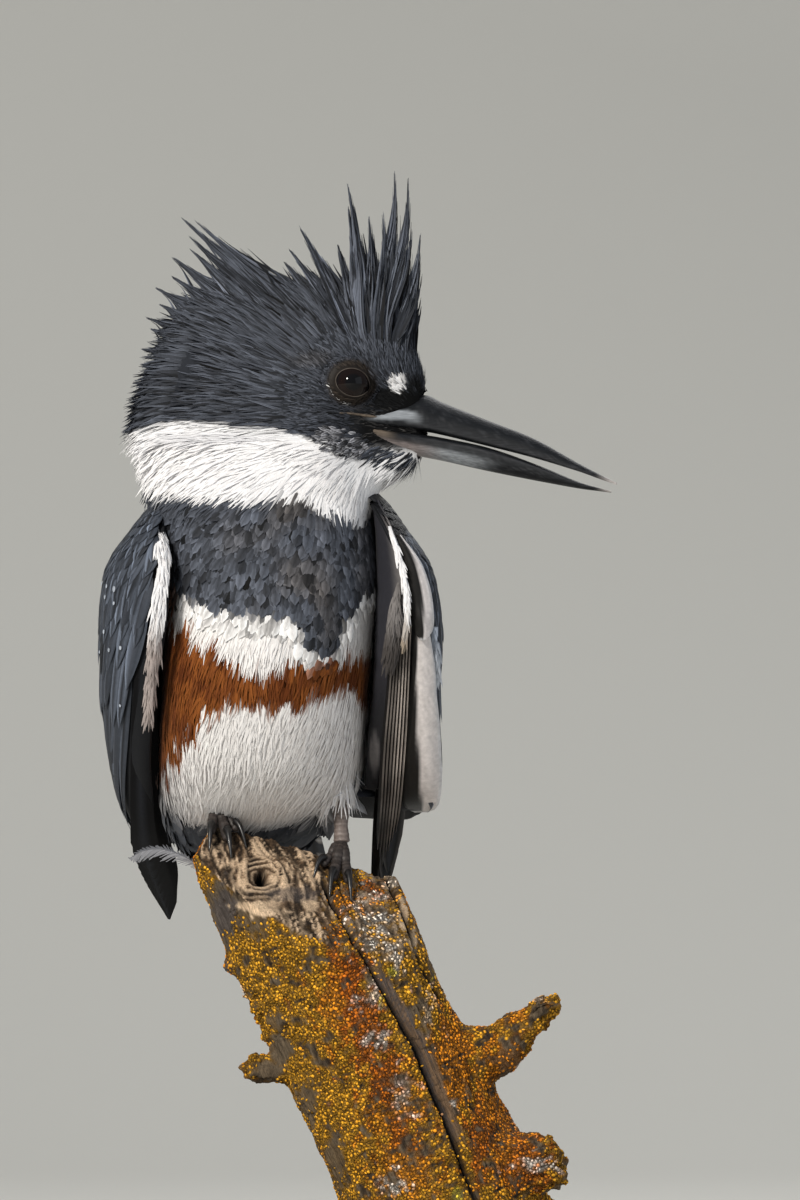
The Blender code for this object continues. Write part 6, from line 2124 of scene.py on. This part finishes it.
def bark_shader():
    """Fine Voronoi grains where the branch is crusted, and fibres along it everywhere."""
    made = tint_material("lichened_bark", 0.86, mottling=0.0, specular=0.15)
    tree = made.node_tree
    own = tree.nodes["Principled BSDF"].inputs["Base Color"].links[0].from_socket
    place = node(tree, "ShaderNodeTexCoord").outputs["Object"]
    spot = {"Vector": place, "Scale": GRAIN_SCALE}
    edges = node(tree, "ShaderNodeTexVoronoi", spot, feature="DISTANCE_TO_EDGE").outputs["Distance"]
    hues = node(tree, "ShaderNodeTexVoronoi", spot).outputs["Color"]
    gaps, shades = span(tree, edges, 0.18, 1.0, 0.0, 0.16), span(tree, hues, 0.5, 1.6, 0.0, 1.0)
    cells = maths(tree, "MULTIPLY", gaps, shades)
    crusted = node(tree, "ShaderNodeAttribute", attribute_name="Crust").outputs["Fac"]
    only = node(tree, "ShaderNodeMix", {"Factor": crusted, "A": 1.0, "B": cells}).outputs[0]
    turn = node(tree, "ShaderNodeMapping", {"Vector": place, "Rotation": (0, BRANCH_TILT, 0)},
                vector_type="TEXTURE").outputs[0]
    fibres = grit(tree, (2600, 2600, 260), 5.0, vector=turn)
    total = maths(tree, "MULTIPLY", only, span(tree, fibres, 0.58, 1.38))
    give(tree, scaled_colour(tree, own, total), "Base Color")
    give_bump(tree, total, 0.7, 0.35 * MM)
    return made


dress(perch.data, bark_shader())
settle(perch, "bark", "perch")

# %% [markdown]
# ### Grains of lichen
# A crust lichen is thousands of small swollen lobes. Geometry Nodes spread points over the branch where the
# Crust attribute is high, keep the Lichen colour of each place, and set a squashed twenty-sided pebble on
# every point with its own size, turn and shade.

# %% Node tree that spreads the grains
LICHEN_SEED = 5
GRAIN_SHADES = (0.25, 1.95)                  # the darkest and the palest grain, as shares of its colour
GRAIN_SMALLEST, GRAIN_BIGGEST = (0.5, 0.5, 0.4), (1.6, 1.35, 1.5)
GRAIN_DENSITY = 2.6e6                        # tries for each square metre, before the spacing thins them
GRAIN_FLATNESS = 0.5
GRAIN_INPUTS = (("Geometry", "Geometry"), ("Spacing", "Float"), ("Density", "Float"),
                ("Grain Radius", "Float"), ("Flatness", "Float"), ("Seed", "Int"))


def pebble(tree, given):
    """A squashed ball of twenty sides, shaded smooth."""
    ball = node(tree, "GeometryNodeMeshIcoSphere", {"Subdivisions": 1, "Radius": given["Grain Radius"]})
    flat = node(tree, "ShaderNodeCombineXYZ", {"X": 1.0, "Y": 1.0, "Z": given["Flatness"]}).outputs[0]
    squash = node(tree, "GeometryNodeTransform", {"Geometry": ball.outputs["Mesh"], "Scale": flat})
    return node(tree, "GeometryNodeSetShadeSmooth", {"Geometry": squash.outputs[0]}).outputs[0]


def random_spin(tree, rotation, seed):
    """The surface's rotation with a random turn about its own upright axis."""
    spin = node(tree, "FunctionNodeRandomValue", {3: 2 * math.pi, "Seed": seed}).outputs[1]
    about = node(tree, "FunctionNodeAxisAngleToRotation", {"Axis": (0, 0, 1), "Angle": spin}).outputs[0]
    return node(tree, "FunctionNodeRotateRotation", {"Rotation": rotation, "Rotate By": about},
                rotation_space="LOCAL").outputs[0]


def grain_tree(finish):
    """Sets a squashed pebble on points spread over a mesh, as thick as its Crust attribute says."""
    tree = bpy.data.node_groups.new("lichen_grains", "GeometryNodeTree")
    for title, kind in GRAIN_INPUTS:
        tree.interface.new_socket(title, in_out="INPUT", socket_type="NodeSocket" + kind)
    tree.interface.new_socket("Geometry", in_out="OUTPUT", socket_type="NodeSocketGeometry")
    given = node(tree, "NodeGroupInput").outputs
    seed = given["Seed"]
    crusted, hue = (node(tree, "GeometryNodeInputNamedAttribute", {"Name": name}, data_type=kind).outputs[0]
                    for name, kind in (("Crust", "FLOAT"), ("Lichen", "FLOAT_COLOR")))
    spread = node(tree, "GeometryNodeDistributePointsOnFaces", {
        "Mesh": given["Geometry"], "Distance Min": given["Spacing"], "Density Max": given["Density"],
        "Density Factor": crusted, "Seed": seed}, distribute_method="POISSON").outputs
    luck = node(tree, "FunctionNodeRandomValue", {2: GRAIN_SHADES[0], 3: GRAIN_SHADES[1], "Seed": seed})
    tinted = node(tree, "GeometryNodeStoreNamedAttribute", {
        "Geometry": spread["Points"], "Name": "Tint", "Value": scaled_colour(tree, hue, luck.outputs[1])},
        data_type="FLOAT_COLOR")
    stone = pebble(tree, given)
    size = node(tree, "FunctionNodeRandomValue", {0: GRAIN_SMALLEST, 1: GRAIN_BIGGEST, "Seed": seed},
                data_type="FLOAT_VECTOR")
    turn = random_spin(tree, spread["Rotation"], seed)
    put = node(tree, "GeometryNodeInstanceOnPoints", {
        "Points": tinted.outputs[0], "Instance": stone, "Rotation": turn, "Scale": size.outputs[0]})
    real = node(tree, "GeometryNodeRealizeInstances", {"Geometry": put.outputs[0]}).outputs[0]
    dressed = node(tree, "GeometryNodeSetMaterial", {"Geometry": real, "Material": finish}).outputs[0]
    node(tree, "NodeGroupOutput", {"Geometry": dressed})
    return tree


def grown(name, base, tree, values):
    """Runs a node tree on a copy of a mesh and returns the result as a plain mesh object."""
    source = link(bpy.data.objects.new(name, base.data.copy()))
    grow = source.modifiers.new("grow", "NODES")
    grow.node_group = tree
    for item in tree.interface.items_tree:
        if item.name in values:
            grow[item.identifier] = values[item.name]
    return baked(source)


grain_material = tint_material("lichen_grain", 0.82, 0.5, (2500, 2500, 2500), mottling=0.25, specular=0.15)
lichen_tree = grain_tree(grain_material)
facing = ramp(-perch_out[:, 1], -0.15, -0.05)
# label, where they grow, spacing and radius in millimetres
for label, share, spacing, radius in (("front", facing, 0.80, 0.43), ("back", 1 - facing, 1.05, 0.52)):
    set_crust(crust * share)
    settle(grown(f"perch_lichen_{label}", perch, lichen_tree, {
        "Spacing": spacing * MM, "Density": GRAIN_DENSITY, "Grain Radius": radius * MM,
        "Flatness": GRAIN_FLATNESS, "Seed": LICHEN_SEED}), "bark")
set_crust(crust)

# %% [markdown]
# ### A loose feather
# A small body feather has come off and hangs on the rim of the branch, with a bent shaft and thin barbs.

# %% Loose feather
FEATHER_SHAFT = ((-38.0, 2.0, 146.4), (-42.5, 1.0, 149.6), (-48.5, 0.5, 151.6), (-53.5, 1.0, 151.2),
                 (-57.2, 2.0, 149.2))
FEATHER_BARBS, BARB_ROWS, BARB_HALF = 46, 6, 0.22
FEATHER_GREY, FEATHER_WHITE = (0.08, 0.085, 0.10), (0.34, 0.34, 0.36)


def loose_feather(seed):
    rng = np.random.default_rng(seed)
    dense = smooth_rows(FEATHER_SHAFT, FEATHER_BARBS)
    along = unit(np.gradient(dense, axis=0))
    across = unit(np.cross(along, np.broadcast_to((0.0, -1.0, 0.15), along.shape)))
    t = np.linspace(0, 1, FEATHER_BARBS)
    paths, shades = [], []
    for side, reach in ((1, 2.2), (-1, 5.2)):
        ragged = reach * np.sin(np.pi * np.clip(t * 0.86 + 0.10, 0, 1)) * rng.uniform(0.7, 1.1, FEATHER_BARBS)
        way = unit(along * 1.1 + across * side * rng.uniform(0.6, 1.0, (FEATHER_BARBS, 1)) + (0, 0, -0.15))
        end = dense + way * ragged[:, None] + rng.normal(0, 0.15, dense.shape)
        bow = dense + along * 0.4 * ragged[:, None] + across * side * 0.15 * ragged[:, None]
        paths.append(bezier(dense, bow, end - along * 0.3, end, BARB_ROWS))
        shades.append(np.full(FEATHER_BARBS, 0.25 if side == 1 else 0.75))
    paths = np.concatenate([*paths, smooth_rows(FEATHER_SHAFT, BARB_ROWS)[None]]) * MM
    share = np.clip(np.concatenate([*shades, [1.0]]) * rng.uniform(0.6, 1.2, len(paths)), 0, 1)
    sides = unit(np.cross(np.gradient(paths, axis=1), np.broadcast_to((0.0, -1.0, 0.0), paths.shape)))
    half = np.full(paths.shape[:2], BARB_HALF * MM) * np.linspace(1, 0.3, BARB_ROWS)
    points = blades(paths, sides, half, roof=0.3)
    colours = dye(np.broadcast_to(FEATHER_GREY, points.shape), FEATHER_WHITE, share[:, None, None])
    spots = cell_map(len(paths), BARB_ROWS, ACROSS)
    settle(sheet_mesh("loose_feather", points, colours, silk_material, bake_uv=spots), "plumage")


loose_feather(91)

# %% [markdown]
# ## The stand
# A plain turned base and a steel rod hold the branch, as in a museum. Both solids keep their own shape and
# get a better finish: oiled dark wood, and brushed steel.

# %% Finishes of the stand
WOOD_DEEP = (0.022, 0.012, 0.007)
WOOD_OILED = (0.105, 0.058, 0.032)
STEEL = (0.55, 0.55, 0.56)


def turned_wood():
    made = plain_material("oiled_wood", WOOD_OILED, 0.42)
    tree = made.node_tree
    figure = grit(tree, (14, 160, 160), 6.0, 0.6)
    tones = node(tree, "ShaderNodeValToRGB", {"Fac": figure})
    for element, spot, colour in zip(tones.color_ramp.elements, (0.32, 0.72), (WOOD_DEEP, WOOD_OILED)):
        element.position, element.color = spot, (*colour, 1)
    give(tree, tones.outputs["Color"], "Base Color")
    give_bump(tree, figure, 0.15)
    return made


def brushed_steel():
    made = plain_material("brushed_steel", STEEL, 0.32)
    tree = made.node_tree
    tree.nodes["Principled BSDF"].inputs["Metallic"].default_value = 1.0
    give(tree, span(tree, grit(tree, (400, 400, 6000), 2.0), 0.22, 0.42, 0.0, 1.0), "Roughness")
    return made


for name, finish in (("stand_base", turned_wood()), ("stand_rod", brushed_steel())):
    dress(frame["nodes"][name].data, finish)
    print(name, "finished")
